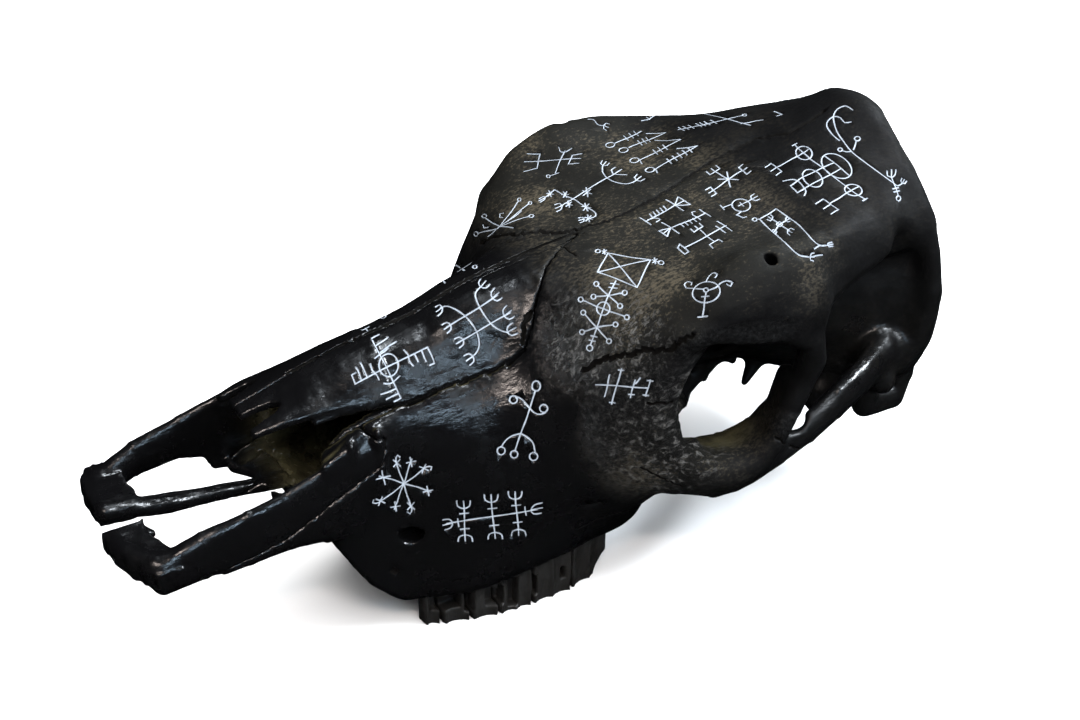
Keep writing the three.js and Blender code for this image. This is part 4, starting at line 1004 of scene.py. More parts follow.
def bone_material():
    n = Nodes("stained_bone")
    fine = n.noise(700.0, 6.0, 0.7, stretch=(0.6, 1.0, 1.0))
    patches = n.noise(60.0, 6.0, 0.62)
    broad = n.noise(20.0, 4.0, 0.55)
    brown = n.zone("brown")
    gloss = n.zone("gloss")
    rough_bone = n.zone("rough")
    uneven = n.math("MULTIPLY", brown, n.fit(broad, 0.3, 0.7, 0.55, 1.2))
    base = n.mix(uneven, BLACK, BROWN)
    base = n.mix(n.math("MULTIPLY", rough_bone, n.fit(fine, 0.45, 0.65, 0.1, 0.9)), base, GREY)
    spread = n.math("ADD", fine, n.math("MULTIPLY", broad, 0.8))
    base = n.mix(n.math("MULTIPLY", n.fit(spread, 0.90, 1.10), brown), base, TAN)
    strands = n.noise(420.0, 6.0, 0.72, 0.6, stretch=(0.35, 1.0, 0.7))
    fibre = n.zone("fibre")
    base = n.mix(n.math("MULTIPLY", n.fit(strands, 0.50, 0.68), fibre), base, PALE_GREY)
    gold = n.mix(n.fit(patches, 0.35, 0.65), DARK_GOLD, GOLD)
    n.link(n.mix(n.zone("gold"), base, gold), n.shader.inputs["Base Color"])
    matte = n.fit(patches, 0.3, 0.7, 0.55, 0.75)
    shiny = n.fit(patches, 0.3, 0.7, 0.1, 0.27)
    rough = n.math("ADD", n.math("MULTIPLY", matte, n.math("SUBTRACT", 1.0, gloss)),
                   n.math("MULTIPLY", shiny, gloss))
    n.link(rough, n.shader.inputs["Roughness"])
    n.link(n.fit(gloss, 0.0, 1.0, 0.06, 0.5), n.shader.inputs["Specular IOR Level"])
    coarse_bump = n.bump(n.noise(75.0, 3.0, 0.5), 0.0014, 0.5)
    fibres = n.noise(230.0, 4.0, 0.6, stretch=(0.35, 1.0, 1.0))
    grain = n.bump(fibres, 0.0006, 0.6, coarse_bump)
    pores = n.math("MULTIPLY", n.noise(430.0, 4.0, 0.75, 0.6), rough_bone)
    rough_bump = n.bump(pores, 0.006, 1.0, grain)
    fibre_bump = n.bump(n.math("MULTIPLY", strands, fibre), 0.0035, 0.9, rough_bump)
    n.link(fibre_bump, n.shader.inputs["Normal"])
    return n.material


def dark_groove_material():
    n = Nodes("dark_groove")
    n.link(n.mix(n.noise(300.0), (0.0006, 0.0006, 0.0006, 1), (0.003, 0.0026, 0.002, 1)),
           n.shader.inputs["Base Color"])
    n.shader.inputs["Roughness"].default_value = 0.8
    n.shader.inputs["Specular IOR Level"].default_value = 0.1
    return n.material


def bare_bone_material():
    n = Nodes("bare_bone")
    n.link(n.mix(n.noise(500.0, 4.0), (0.19, 0.22, 0.26, 1), (0.34, 0.38, 0.43, 1)),
           n.shader.inputs["Base Color"])
    n.shader.inputs["Roughness"].default_value = 0.6
    return n.material


def tooth_material():
    n = Nodes("stained_tooth")
    n.link(n.mix(n.noise(120.0, 5.0), (0.004, 0.0038, 0.0035, 1), (0.013, 0.012, 0.0108, 1)),
           n.shader.inputs["Base Color"])
    n.link(n.fit(n.noise(90.0), 0.3, 0.7, 0.42, 0.7), n.shader.inputs["Roughness"])
    upright_grain = n.noise(260.0, 4.0, 0.6, stretch=(1.0, 1.0, 0.2))
    n.link(n.bump(upright_grain, 0.0006, 0.7), n.shader.inputs["Normal"])
    return n.material


BONE = bone_material()
BARE = bare_bone_material()
GROOVE = dark_groove_material()
TOOTH = tooth_material()
CARVED_MATERIALS = [BONE, BARE, GROOVE]
BARE_SLOT = 1
GROOVE_SLOT = 2


# Lines drawn on the photograph's plane, in its pixels, and carved where they meet the bone

LINE_STEP = 3.2
CURVE_STEP = 2.2
HAND_WAVER = 0.7


class Pen:
    """Collects strokes. A stroke is a row of pixel points and says whether it closes on itself."""

    def __init__(self):
        self.strokes = []

    def line(self, a, b):
        """A straight stroke with the slight waver of a hand."""
        a = np.asarray(a, float)
        b = np.asarray(b, float)
        length = np.linalg.norm(b - a)
        steps = max(1, int(length / LINE_STEP))
        side = np.array([a[1] - b[1], b[0] - a[0]]) / max(length, 1e-6)
        waver = HAND_WAVER * min(1.0, length / 25.0)
        phase = 0.37 * a[0] + 0.61 * b[1]
        t = np.linspace(0.0, 1.0, steps + 1)[:, None]
        bend = np.sin(math.pi * t) * np.sin(phase + 2.5 * t) * waver
        self.strokes.append((a + (b - a) * t + side * bend, False))

    def lines(self, *rows):
        """Straight strokes, each from its first two numbers to its last two."""
        for a, b, c, d in rows:
            self.line((a, b), (c, d))

    def path(self, *points):
        for a, b in zip(points[:-1], points[1:]):
            self.line(a, b)

    def curve(self, *points, closed=False):
        """A smooth stroke through the points."""
        p = np.asarray(points, float)
        count = len(p)
        spans = count if closed else count - 1
        row = []
        for i in range(spans):
            if closed:
                a, b, c, d = (p[(i + k) % count] for k in (-1, 0, 1, 2))
            else:
                a, b, c, d = (p[min(max(i + k, 0), count - 1)] for k in (-1, 0, 1, 2))
            steps = max(1, int(np.linalg.norm(c - b) / CURVE_STEP))
            row += [on_curve(a, b, c, d, k / steps) for k in range(steps)]
        if not closed:
            row.append(p[-1])
        self.strokes.append((np.array(row), closed))

    def ring(self, centre, radius, flat=None, tilt=0.0):
        """A circle, or an oval with the two radii and its first one tilted by degrees."""
        flat = radius if flat is None else flat
        turn = math.radians(tilt)
        count = max(8, int(2 * math.pi * radius / CURVE_STEP))
        angles = np.arange(count) * 2 * math.pi / count
        u = radius * np.cos(angles)
        v = flat * np.sin(angles)
        x = centre[0] + u * math.cos(turn) - v * math.sin(turn)
        y = centre[1] + u * math.sin(turn) + v * math.cos(turn)
        self.strokes.append((np.stack([x, y], axis=1), True))

    def fork(self, base, forward, across, prong=True):
        """A cup whose bottom is at base, open along forward, with a prong in the middle."""
        base, forward, across = (np.asarray(v, float) for v in (base, forward, across))
        self.curve(base + forward + across, base + 0.3 * forward + 0.85 * across, base,
                   base + 0.3 * forward - 0.85 * across, base + forward - across)
        if prong:
            self.line(base, base + 1.1 * forward)

    def rake(self, base, forward, across):
        """A square fork: a cross bar at base with three straight teeth along forward."""
        base, forward, across = (np.asarray(v, float) for v in (base, forward, across))
        self.line(base + across, base - across)
        for place in (1.0, 0.0, -1.0):
            self.line(base + place * across, base + place * across + forward)

    def asterisk(self, centre, radius, tilt=0.0, arms=3):
        centre = np.asarray(centre, float)
        for i in range(arms):
            angle = math.radians(tilt) + math.pi * i / arms
            reach = radius * np.array([math.cos(angle), math.sin(angle)])
            self.line(centre - reach, centre + reach)

    def ticks(self, a, b, places, across):
        """Short strokes across the line from a to b at the places along it."""
        a, b, across = (np.asarray(v, float) for v in (a, b, across))
        for place in places:
            middle = a + (b - a) * place
            self.line(middle - across, middle + across)


def star_of_eight(pen):
    centre = np.array([404.0, 483.5])
    arm_ends = [(396.8, 463), (411, 462), (424, 468.5), (428, 491), (411, 506), (395.5, 506.5),
                (380.5, 501), (383.5, 477.5)]
    for i, end in enumerate(arm_ends):
        end = np.array(end)
        out = (end - centre) / np.linalg.norm(end - centre)
        turn = math.degrees(math.atan2(out[1], out[0]))
        size = 7.0 if i == 7 else 4.6
        pen.line(centre, end + out * size * 0.6)
        pen.asterisk(end, size, turn + 60, 2)
        if i % 2 == 0:
            side = np.array([-out[1], out[0]])
            tip = end + out * size * 0.6
            pen.curve(tip, tip + out * 2.5 + side, tip + out * 4.5 + side * 3.2,
                      tip + out * 2.0 + side * 5.0)


def three_stems(pen):
    stems = [((463.5, 501), (465.4, 540.8)), ((491.1, 494.9), (495.3, 538.3)),
             ((515.1, 491.7), (518.7, 535.3))]
    pen.line((447, 523.5), (537, 509.5))
    pen.fork((452.5, 522.8), (-8.5, 2), (1, 5))
    pen.fork((531, 510), (10.5, -2), (-0.5, 5.2))
    pen.lines((457.7, 518.9, 458.9, 526.5), (524.8, 507, 526.2, 515.3))
    for top, bottom in stems:
        top = np.array(top)
        bottom = np.array(bottom)
        pen.line(top, bottom)
        pen.fork(top + (0, 7.5), (0, -7.5), (6.8, 0), prong=False)
        pen.fork(bottom - (0, 6), (0, 6.5), (7.2, 0), prong=False)
        pen.ticks(top, bottom, (0.31, 0.7), (4.3, -0.4))


def ringed_figure(pen):
    pen.ring((536.3, 385.9), 4.2, 5.1)
    pen.curve((535.3, 391), (529.8, 408.4), (526.3, 419.2), (520.4, 434.4), (515.2, 450.1))
    pen.ring((513.5, 399.5), 3.9)
    pen.curve((516.6, 396.7), (522.5, 399.7), (530.1, 408.4), (534.5, 412.7), (539.9, 414.3),
              (545.3, 412.7))
    pen.ring((543.7, 408.4), 4.0)
    pen.curve((520.4, 433.5), (511.7, 436), (505.2, 440.9), (501.8, 446.3))
    pen.ring((501.2, 450.7), 4.0)
    pen.ring((514.2, 454.2), 3.7)
    pen.curve((521, 433.5), (527.4, 437.1), (532.8, 442.5), (535.0, 451.5))
    pen.ring((533.6, 456.4), 4.1)


def fence(pen):
    pen.line((595.7, 384.7), (648, 388))
    stems = [((609.6, 375), (604.6, 396.5)), ((621.5, 368.8), (611.7, 404)),
             ((635.3, 380.2), (630.5, 397.5)), ((650.3, 380.2), (645.6, 395.9))]
    for top, bottom in stems:
        pen.line(top, bottom)
    for a, b in stems[1:2] + stems[3:]:
        pen.ticks(a, b, (0.04, 0.96), (2.6, 0.3))
    pen.ticks(*stems[2], (0.82,), (2.8, 0.2))
    pen.line((635.9, 383.4), (640.2, 378))


def wheel_with_rakes(pen):
    pen.ring((388.7, 365.1), 9.6, 11.4)
    pen.lines((355.5, 383.7, 427.7, 347), (372.3, 340.2, 400.9, 398))
    pen.path((379.2, 334.6), (371.7, 338.3))
    pen.lines((376, 345.6, 388.2, 337.2), (380.4, 352.3, 396.6, 341.5), (375, 358.2, 388.5, 347.9))
    pen.path((427.7, 347), (434.5, 363.2), (430, 365.2))
    pen.lines((421.6, 350.4, 426.2, 361.2), (414.6, 353.9, 418.2, 361.5))
    pen.curve((404, 350.1), (408, 354.5), (409.6, 361), (413.4, 365.7))
    pen.path((355.5, 383.7), (351.8, 375), (356, 372.6))
    pen.lines((361.7, 380.6, 356.6, 367.6), (367.6, 377.5, 360.5, 362.6))
    pen.curve((370.6, 363.8), (372.2, 369.8), (376.8, 374.8), (379, 379.6))
    pen.lines((400.9, 398, 394.2, 401.4), (398.6, 393.4, 386.6, 399), (396.1, 388.4, 381, 394.2))
    pen.curve((384.1, 383.4), (389.7, 383.6), (394, 381.2), (399.7, 375.9))


def crossing_bows(pen):
    pen.lines((446.5, 327.4, 497.5, 295.1), (458.6, 342.1, 510.5, 312.5))
    pen.curve((441, 307.6), (447.6, 306.2), (459.4, 311.6), (470, 320.9), (476.8, 332.1), (479.3, 343.3),
              (476.8, 352), (471.8, 357))
    pen.curve((481, 286.3), (475.5, 293.6), (478, 303.5), (484.3, 314.7), (491.7, 324), (500.4, 330.2),
              (508.5, 332.4))
    for cup in (
        ((442.5, 307.2), (-5.5, 4), (-1.2, -4.4)),
        ((450.6, 324.8), (-5.8, 4), (-2.5, -4.2)),
        ((463.1, 339.6), (-6.0, 3.6), (-2.4, -4.4)),
        ((473.0, 356.2), (-6.0, 4.2), (-3.0, -4.6)),
        ((481.0, 287.0), (4.6, -5.6), (4.4, 3.0)),
        ((492.6, 298.2), (5.8, -5.2), (3.6, 4.8)),
        ((504.4, 316.0), (6.2, -5.0), (3.8, 5.4)),
        ((507.6, 332.2), (7.6, -4.2), (2.4, 5.2)),
    ):
        pen.fork(*cup)


def nasal_edge_marks(pen):
    pen.line((433.9, 285.5), (471.2, 263.1))
    pen.ring((474.9, 266.8), 2.2, 1.8)
    pen.curve((447.6, 263.7), (455.6, 265), (464.4, 270.5))
    pen.curve((434.0, 277.4), (440.7, 278.6), (445.1, 283))
    pen.lines((432.4, 283.6, 436.6, 288.2), (470, 261.6, 472.6, 265.4))
    pen.asterisk((403.5, 305), 3.6, -30)
    pen.line((400, 307.4), (411, 300.4))
    pen.ring((383.4, 316.4), 2.8, 1.8, -25)
    pen.lines((362, 330, 369, 326.8), (363.5, 325.6, 367.5, 331))


def crossed_box_and_chain(pen):
    first, second, third, fourth = (608, 253), (650.8, 259.7), (637.2, 287.2), (597.7, 272)
    pen.path(first, second, third, fourth, first)
    pen.line(first, third)
    pen.line(fourth, second)
    pen.asterisk((604.6, 251.8), 2.4, 20)
    pen.ring((598.0, 251.1), 2.6, 1.7)
    pen.asterisk((655.1, 260.8), 2.9, 20)
    pen.ring((661.1, 262.6), 2.8, 2.0, 10)
    pen.curve((616.1, 280.7), (608.5, 295.3), (603.4, 308.5), (597.1, 327.3), (590.4, 345.0))
    pen.lines((610.7, 283.4, 618.8, 284.4), (609.3, 287.2, 616.9, 288.2))
    for centre, ends in (
        ((608.5, 295.3), [(596.4, 283.9), (624.8, 292.6), (593.6, 296.6), (620.1, 305.9)]),
        ((603.4, 308.5), [(580.8, 299.4), (626.9, 317.2)]),
        ((597.1, 327.3), [(583.3, 312.5), (615.6, 324.4), (582.1, 332), (609, 341.1)]),
    ):
        for end in ends:
            out = np.array(end) - centre
            near = np.array(end) - out / np.linalg.norm(out) * 2.4
            pen.line(centre, near)
            pen.ring(end, 2.5)
    pen.ring((603.4, 308.5), 6.6)
    pen.lines((591.1, 335.6, 596.8, 336.9), (589.2, 340, 595.2, 341.3))
    pen.ring((589.7, 347.9), 3.1)


def curled_wheel(pen):
    pen.ring((706.4, 292.1), 13.9, 10.3, -12)
    pen.ring((706.1, 289.9), 2.5, 2.1)
    pen.curve((703.4, 289), (691.5, 288.3), (686.1, 287.7), (684.4, 284.5), (687.7, 281.5), (692, 282.4),
              (691.3, 284.9))
    pen.curve((709.4, 289.9), (716.4, 287.2), (720.2, 283.4), (726.2, 280.7), (732.7, 282.5), (730.5, 286.1),
              (726.7, 284.2))
    pen.curve((706.1, 281.6), (709.4, 275.8), (714.2, 272.5), (717.5, 274.7), (715.3, 277.4))
    pen.lines((706.1, 293.1, 702.5, 316.5), (701.8, 296.6, 708.8, 296.1), (698, 317, 707.4, 316.2))


def double_rake(pen):
    pen.line((524.5, 161.7), (580.7, 158.4))
    pen.path((527.2, 153.7), (540.2, 153.9), (537.1, 168.4), (524.1, 171.4))
    pen.path((581.9, 153.7), (572.4, 155.1), (568.4, 164.0), (578.8, 163.2))
    pen.line((565.2, 150.6), (555.4, 172.9))
    pen.curve((558.9, 147.4), (560.1, 151.2), (564.9, 152.2), (572, 148.2))
    pen.line((550.8, 175.4), (558.9, 172.7))
    pen.ring((548.4, 176.2), 1.9, 1.5)


def broom(pen):
    centre = (499.8, 226.4)
    for end in [(518.5, 200.9), (528.7, 204), (529.0, 216.3), (513.2, 227.9), (521.5, 211.0)]:
        pen.line(centre, end)
    pen.ring((519.3, 199.6), 1.7)
    pen.ring((530.2, 202.9), 1.6)
    pen.ring((531.4, 215.9), 2.4, 1.5, -10)
    pen.curve(centre, (492, 222.6), (486, 218.4))
    pen.ring((484.3, 216.0), 2.4, 2.0)
    pen.line((496.0, 229.0), (478.6, 233.2))
    pen.ring((476, 233.9), 2.1, 2.3)
    pen.curve((503.6, 213.2), (500, 213.8), (499.8, 217), (503.2, 217.6))
    pen.curve((483, 224.6), (484.2, 228), (488.6, 227))
    pen.line((499.8, 226.4), (488, 236.5))


def long_branch(pen):
    pen.lines((561.0, 205.8, 606.8, 177.9), (606.8, 177.9, 621.7, 169.4))
    pen.asterisk((568.9, 204), 3.4, 20)
    pen.asterisk((587.1, 192.2), 4.6, 20)
    pen.fork((562.5, 205.4), (-6.4, 2.6), (-1.0, -3.4))
    pen.curve((606.8, 177.9), (602.6, 171.8), (602.8, 165.6))
    pen.fork((602.8, 165.6), (3.2, -3.8), (3.6, 1.2))
    pen.curve((615.5, 167.3), (611.4, 169.8), (613, 173.8), (626.7, 174.8))
    pen.curve((606.8, 177.9), (614.3, 181.8), (625.4, 183.8), (632.9, 182.3), (637.3, 179.4))
    pen.fork((636.4, 180.2), (4.6, -3.6), (3.8, 2.2))
    pen.path((554.6, 189.7), (575.1, 199.7), (586.3, 207.1))
    pen.asterisk((565.1, 194.5), 3.2, 0)
    pen.asterisk((586.3, 207.1), 4.2, 10)
    pen.curve((586.3, 207.1), (594.4, 211.8), (595.8, 216.0), (588.1, 218.8))
    pen.asterisk((588.6, 218.3), 3.6, 15)
    pen.fork((584.6, 219.0), (-5.0, 1.2), (-0.8, -2.4))
    pen.line((554.6, 189.7), (545.6, 197.0))
    pen.asterisk((550.2, 193.8), 3.2, 10)
    pen.fork((545.6, 197.0), (-5.8, 3.4), (-0.6, -1.8))


def feathers(pen):
    strokes = [
        ((614.9, 143.2), (641.4, 131.2), (610.3, 144.9), None),
        ((629, 147.4), (665.9, 132.4), (623.6, 150), (646.4, 133.7)),
        ((639.8, 159.8), (680.8, 139.5), (634.6, 160.2), (655.5, 140.3)),
        ((655.5, 168.9), (697.4, 145.7), (650.0, 169.8), (677.1, 148.6)),
    ]
    tick_places = [(0.42, 0.62, 0.8), (0.3, 0.42, 0.52), (0.38, 0.5, 0.62),
                   (0.33, 0.46, 0.58, 0.7, 0.82)]
    for (start, end, ring, barb), places in zip(strokes, tick_places):
        pen.line(start, end)
        pen.ring(ring, 4.6, 2.4, -8)
        pen.ticks(start, end, places, (-2.3, -2.3))
        if barb is not None:
            pen.line(barb, end)
    for start in (strokes[2][0], strokes[3][0]):
        pen.line(start, (start[0] + 2.0, start[1] + 4.0))


def rake_and_fan(pen, foot, cross, tooth, fan):
    """A stem from foot to cross with teeth, a stroke across each end and a fan."""
    foot, cross, tooth = (np.asarray(v, float) for v in (foot, cross, tooth))
    pen.line(foot, cross)
    for place in (0.24, 0.36, 0.48, 0.6, 0.72):
        middle = foot + (cross - foot) * place
        pen.line(middle, middle + tooth)
    side = np.array([8.6, 5.4])
    pen.line(cross - side, cross + side)
    pen.line(foot - side * 0.66, foot + side * 0.6)
    a, b = fan
    pen.path(cross, a, b, cross)
    middle = (np.asarray(a) + np.asarray(b)) / 2
    pen.line(cross, middle)


def brow_rakes(pen):
    rake_and_fan(pen, (645.8, 221.4), (674.8, 205.2), (-3.0, -3.6), ((678.1, 196.9), (690.6, 204.4)))
    pen.curve((648.3, 219.7), (654.9, 218), (660.3, 219.3), (656.6, 221.8))
    rake_and_fan(pen, (705.5, 213.1), (670.7, 228), (3.4, 3.0), ((659.1, 230.9), (667.4, 236.3)))
    pen.curve((695.1, 211.4), (691.8, 212.2), (692.9, 215), (697.2, 217.2))


def boxed_stem(pen):
    pen.line((684.8, 247.5), (726.2, 225.5))
    pen.path((679.8, 244.2), (688.9, 251.6), (684.8, 254.1), (677.7, 247.9), (679.8, 244.2))
    pen.lines((717.5, 221.4, 732, 230.9), (715.9, 226.1, 725.4, 232.6), (706.3, 235.5, 700.4, 230.0))
    pen.rake((698.6, 229.2), (-3.4, -3.0), (4.4, -2.8))
    pen.line((706.3, 235.5), (715, 241.7))
    pen.path((722.5, 241.7), (718.8, 239.4), (709.7, 244.6), (713, 248.2))


def forked_star(pen):
    centre = (728.7, 179.1)
    pen.line(centre, (716.3, 172))
    pen.rake((715.0, 171.6), (-3.6, -3.0), (4.9, -3.0))
    pen.line(centre, (742.4, 170.4))
    pen.rake((742.8, 170.8), (4.2, -3.2), (4.0, 3.4))
    pen.line(centre, (713, 190.3))
    pen.rake((713.6, 190.2), (-4.8, 2.8), (3.0, 3.2))
    for end in [(727.1, 172), (718.4, 179.1), (738.2, 179.7), (730.4, 187)]:
        pen.line(centre, end)


def footed_ring(pen):
    pen.ring((741.3, 205.2), 9.2, 6.2, 5)
    pen.lines((738.7, 205.9, 751.5, 199.2), (740.2, 202.6, 743.6, 206))
    pen.fork((751.5, 199.2), (5.6, -2.8), (2.8, 2.6))
    pen.lines((732, 204.1, 723.7, 207.3), (720.4, 205.2, 724.2, 209.6))
    pen.path((741.6, 211.4), (736.6, 214.9), (742.8, 217.6), (746.4, 216.8))


def banner(pen):
    pen.ring((754.8, 219.5), 2.3, 1.8)
    pen.path((757.2, 219.2), (759.6, 219), (776.2, 208.7))
    pen.curve((776.2, 208.7), (788, 217), (798.6, 224.7), (806.5, 233.0), (812.4, 239.7), (819.3, 245.2),
              (826.2, 245.4))
    pen.curve((759.6, 219), (768, 227.6), (778, 236.2), (788.0, 245.4), (795.2, 252.3), (800.9, 255.7),
              (808.7, 256.9))
    pen.fork((827, 245.2), (5.4, -1.0), (0.6, 2.0))
    pen.line((819.3, 245.6), (814.4, 248.6))
    pen.fork((810.0, 256.8), (3.6, 0), (-0.4, 4.0))
    pen.line((813.8, 256.2), (822.4, 254.8))
    centre = (779.6, 224.2)
    pen.ring(centre, 2.9, 2.4)
    for end in [(771.0, 218.4), (787.4, 219.8), (774.8, 231.0), (789.8, 231.0)]:
        out = (np.array(end) - centre) * 0.35
        side = np.array([-out[1], out[0]]) * 0.8
        pen.line(centre, end)
        pen.fork(np.array(end) - out * 0.5, out * 1.1, side)


def linked_wheels(pen):
    pen.ring((804.1, 153), 8.3, 6.6, 15)
    pen.path((794.6, 144.4), (810.7, 159.3), (844.6, 185.1), (865.2, 199.3))
    pen.lines((792.6, 145.6, 796.8, 143.4), (862.9, 200.6, 867.4, 198.2))
    pen.path((808.4, 149.4), (798.6, 155.8), (776.5, 167.4))
    pen.rake((776.5, 167.4), (-5.6, 3.8), (5.4, 4.0))
    pen.ring((853.4, 190), 8.8, 5.6, 10)
    pen.path((858.8, 186.6), (846.8, 192.6), (830.2, 203.2))
    pen.rake((831.0, 204.2), (-7.4, 4.6), (7.6, 5.2))
    pen.ring((836.7, 166), 16.6, 10.4, 32)
    pen.line((824.5, 155.8), (849.1, 175.4))
    pen.path((834.2, 162.7), (803.2, 176.7), (790.6, 185.7), (797.5, 192.6), (805.5, 187.8),
             (840.6, 168.7))
    pen.ring((812.7, 178.2), 11.0, 7.6, 35)
    pen.curve((783.1, 181.1), (792.9, 179.4), (799.2, 181.9), (803.4, 186.8), (806.1, 191.4),
              (804.4, 195.5))


def poll_branch(pen):
    pen.curve((852.6, 109.9), (845.7, 105.9), (837.1, 109.4), (833.6, 116.2), (834.4, 123.5), (837.1, 131.7),
              (841.7, 138.8), (851.4, 151.3), (864.1, 161.6), (893.9, 183.4))
    pen.curve((850.9, 122), (844.6, 122.6), (840.5, 117.8), (834.2, 116.4), (828.5, 120.3), (826.8, 126),
              (833.1, 135.2), (839.4, 140.4))
    pen.curve((851.4, 151.3), (846.6, 151.8), (842.8, 150.8))
    pen.ring((840.2, 149.6), 2.3, 1.8)
    pen.line((853.7, 149.6), (856.2, 141.4))
    pen.ring((857.4, 138.6), 3.0, 2.2)
    pen.line((893.9, 183.4), (891.3, 176.6))
    pen.fork((891.3, 177.4), (0.2, -7.0), (4.4, -0.6))
    pen.curve((893.9, 183.4), (897.6, 185.8), (902.6, 183.2))
    pen.fork((902.2, 183.4), (2.0, -3.6), (2.4, 1.4))
    pen.line((893.9, 183.4), (898.2, 195.4))
    pen.ticks((893.9, 183.4), (898.2, 195.4), (0.4, 0.66), (2.8, -0.6))
    pen.ring((898.5, 198.3), 2.3, 2.6)


def far_edge_marks(pen):
    pen.curve((588, 119.3), (593.4, 119.6), (598.2, 124.8), (605.2, 125.6))
    pen.fork((603.6, 125.4), (4.2, 1.8), (1.4, -3.2))
    pen.line((640.3, 113), (649.4, 119.2))
    pen.path((641.7, 120.7), (649.4, 119.4), (654.3, 115.8))
    pen.line((678.2, 129.6), (742.7, 115.4))
    pen.ticks((678.2, 129.6), (742.7, 115.4), (0.05, 0.12, 0.2, 0.32, 0.38, 0.45, 0.55), (-3.0, -1.6))
    pen.lines((704.1, 113.8, 750.4, 125.3), (741.3, 123.5, 763, 119.9))
    pen.ring((744.6, 115.0), 2.0, 1.1)
    pen.path((774.5, 111.4), (782, 114.5), (777, 115.9))


SIGNS = [
    star_of_eight, three_stems, ringed_figure, fence, wheel_with_rakes, crossing_bows, nasal_edge_marks,
    crossed_box_and_chain, curled_wheel, double_rake, broom, long_branch, feathers, brow_rakes, boxed_stem,
    forked_star, footed_ring, banner, linked_wheels, poll_branch, far_edge_marks,
]


# Carving, in millimetres: the largest jump within a stroke, the cutter's part above the bone, and how far
# apart the strokes of one cut are

LARGEST_STEP = 9.0
GROOVE_ABOVE = 0.6
CLEARANCE = 2.6

# Shares of a groove's width: its width at the top and at the bottom, and how far it runs on at each end

GROOVE_TOP = 1.25
GROOVE_BOTTOM = 0.5
GROOVE_END = 0.35


class Target:
    """The bones that can be carved, and where a ray meets them."""

    def __init__(self, pieces):
        self.pieces = pieces
        self.trees = []
        for piece in pieces:
            points = points_of(piece)
            faces = [tuple(p.vertices) for p in piece.data.polygons]
            self.trees.append(BVHTree.FromPolygons([Vector(p) for p in points], faces))

    def meet(self, origin, direction):
        """The nearest meeting: (distance, place, normal, piece number), or None."""
        best = None
        for number, tree in enumerate(self.trees):
            place, normal, _, distance = tree.ray_cast(Vector(origin), Vector(direction))
            if place is not None and (best is None or distance < best[0]):
                best = (distance, np.array(place), np.array(normal), number)
        return best


def drawn_on(target, row, closed):
    """Rows of (places, normals, piece numbers, closed) where the pixel row falls on the bones."""
    runs = [[]]
    for pixel in row:
        found = target.meet(view.place, view.ray(pixel))
        if found is None:
            runs.append([])
            continue
        if runs[-1] and np.linalg.norm(found[1] - runs[-1][-1][1]) > LARGEST_STEP:
            runs.append([])
        runs[-1].append(found)
    whole = closed and len(runs) == 1
    result = []
    for run in runs:
        if len(run) < 2:
            continue
        places = np.array([f[1] for f in run])
        normals = smooth_rows(np.array([f[2] for f in run]), whole)
        pieces = sorted({f[3] for f in run})
        result.append((places, normals, pieces, whole))
    return result


def smooth_rows(rows, closed):
    for _ in range(3):
        before = np.roll(rows, 1, axis=0)
        after = np.roll(rows, -1, axis=0)
        if not closed:
            before[0] = rows[0]
            after[-1] = rows[-1]
        rows = (before + 2 * rows + after) / 4
    return rows / np.linalg.norm(rows, axis=1)[:, None]


def groove_cutter(places, normals, closed, widths, depth, material_index):
    """Vertices and faces of a closed bar with a four-sided section, sunk into the bone along the places."""
    if closed:
        tangents = np.roll(places, -1, axis=0) - np.roll(places, 1, axis=0)
    else:
        tangents = np.gradient(places, axis=0)
        tangents[0] = places[1] - places[0]
        tangents[-1] = places[-1] - places[-2]
        out = tangents[0] / np.linalg.norm(tangents[0])
        places = places.copy()
        places[0] = places[0] - out * GROOVE_END * widths[0]
        out = tangents[-1] / np.linalg.norm(tangents[-1])
        places[-1] = places[-1] + out * GROOVE_END * widths[-1]
    tangents /= np.linalg.norm(tangents, axis=1)[:, None]
    sides = np.cross(tangents, normals)
    sides /= np.linalg.norm(sides, axis=1)[:, None]
    ups = np.cross(sides, tangents)
    half = widths[:, None] / 2
    section = [
        places + ups * GROOVE_ABOVE + sides * half * GROOVE_TOP,
        places + ups * GROOVE_ABOVE - sides * half * GROOVE_TOP,
        places - ups * depth - sides * half * GROOVE_BOTTOM,
        places - ups * depth + sides * half * GROOVE_BOTTOM,
    ]
    points = np.stack(section, axis=1).reshape(-1, 3)
    count = len(places)
    faces = []
    spans = count if closed else count - 1
    for i in range(spans):
        a = 4 * i
        b = 4 * ((i + 1) % count)
        for k in range(4):
            m = (k + 1) % 4
            faces.append((b + k, b + m, a + m, a + k))
    if not closed:
        faces.append((0, 1, 2, 3))
        end = 4 * (count - 1)
        faces.append((end + 3, end + 2, end + 1, end))
    return points, np.array(faces), material_index


def apart(groups, places):
    """The number of the first group with no stroke near the places."""
    low = places.min(axis=0) - CLEARANCE
    high = places.max(axis=0) + CLEARANCE
    for number, group in enumerate(groups):
        clear = True
        for other in group:
            if (other.min(axis=0) > high).any() or (other.max(axis=0) < low).any():
                continue
            gaps = np.linalg.norm(other[:, None] - places[None], axis=2)
            if gaps.min() < CLEARANCE:
                clear = False
                break
        if clear:
            return number
    groups.append([])
    return len(groups) - 1


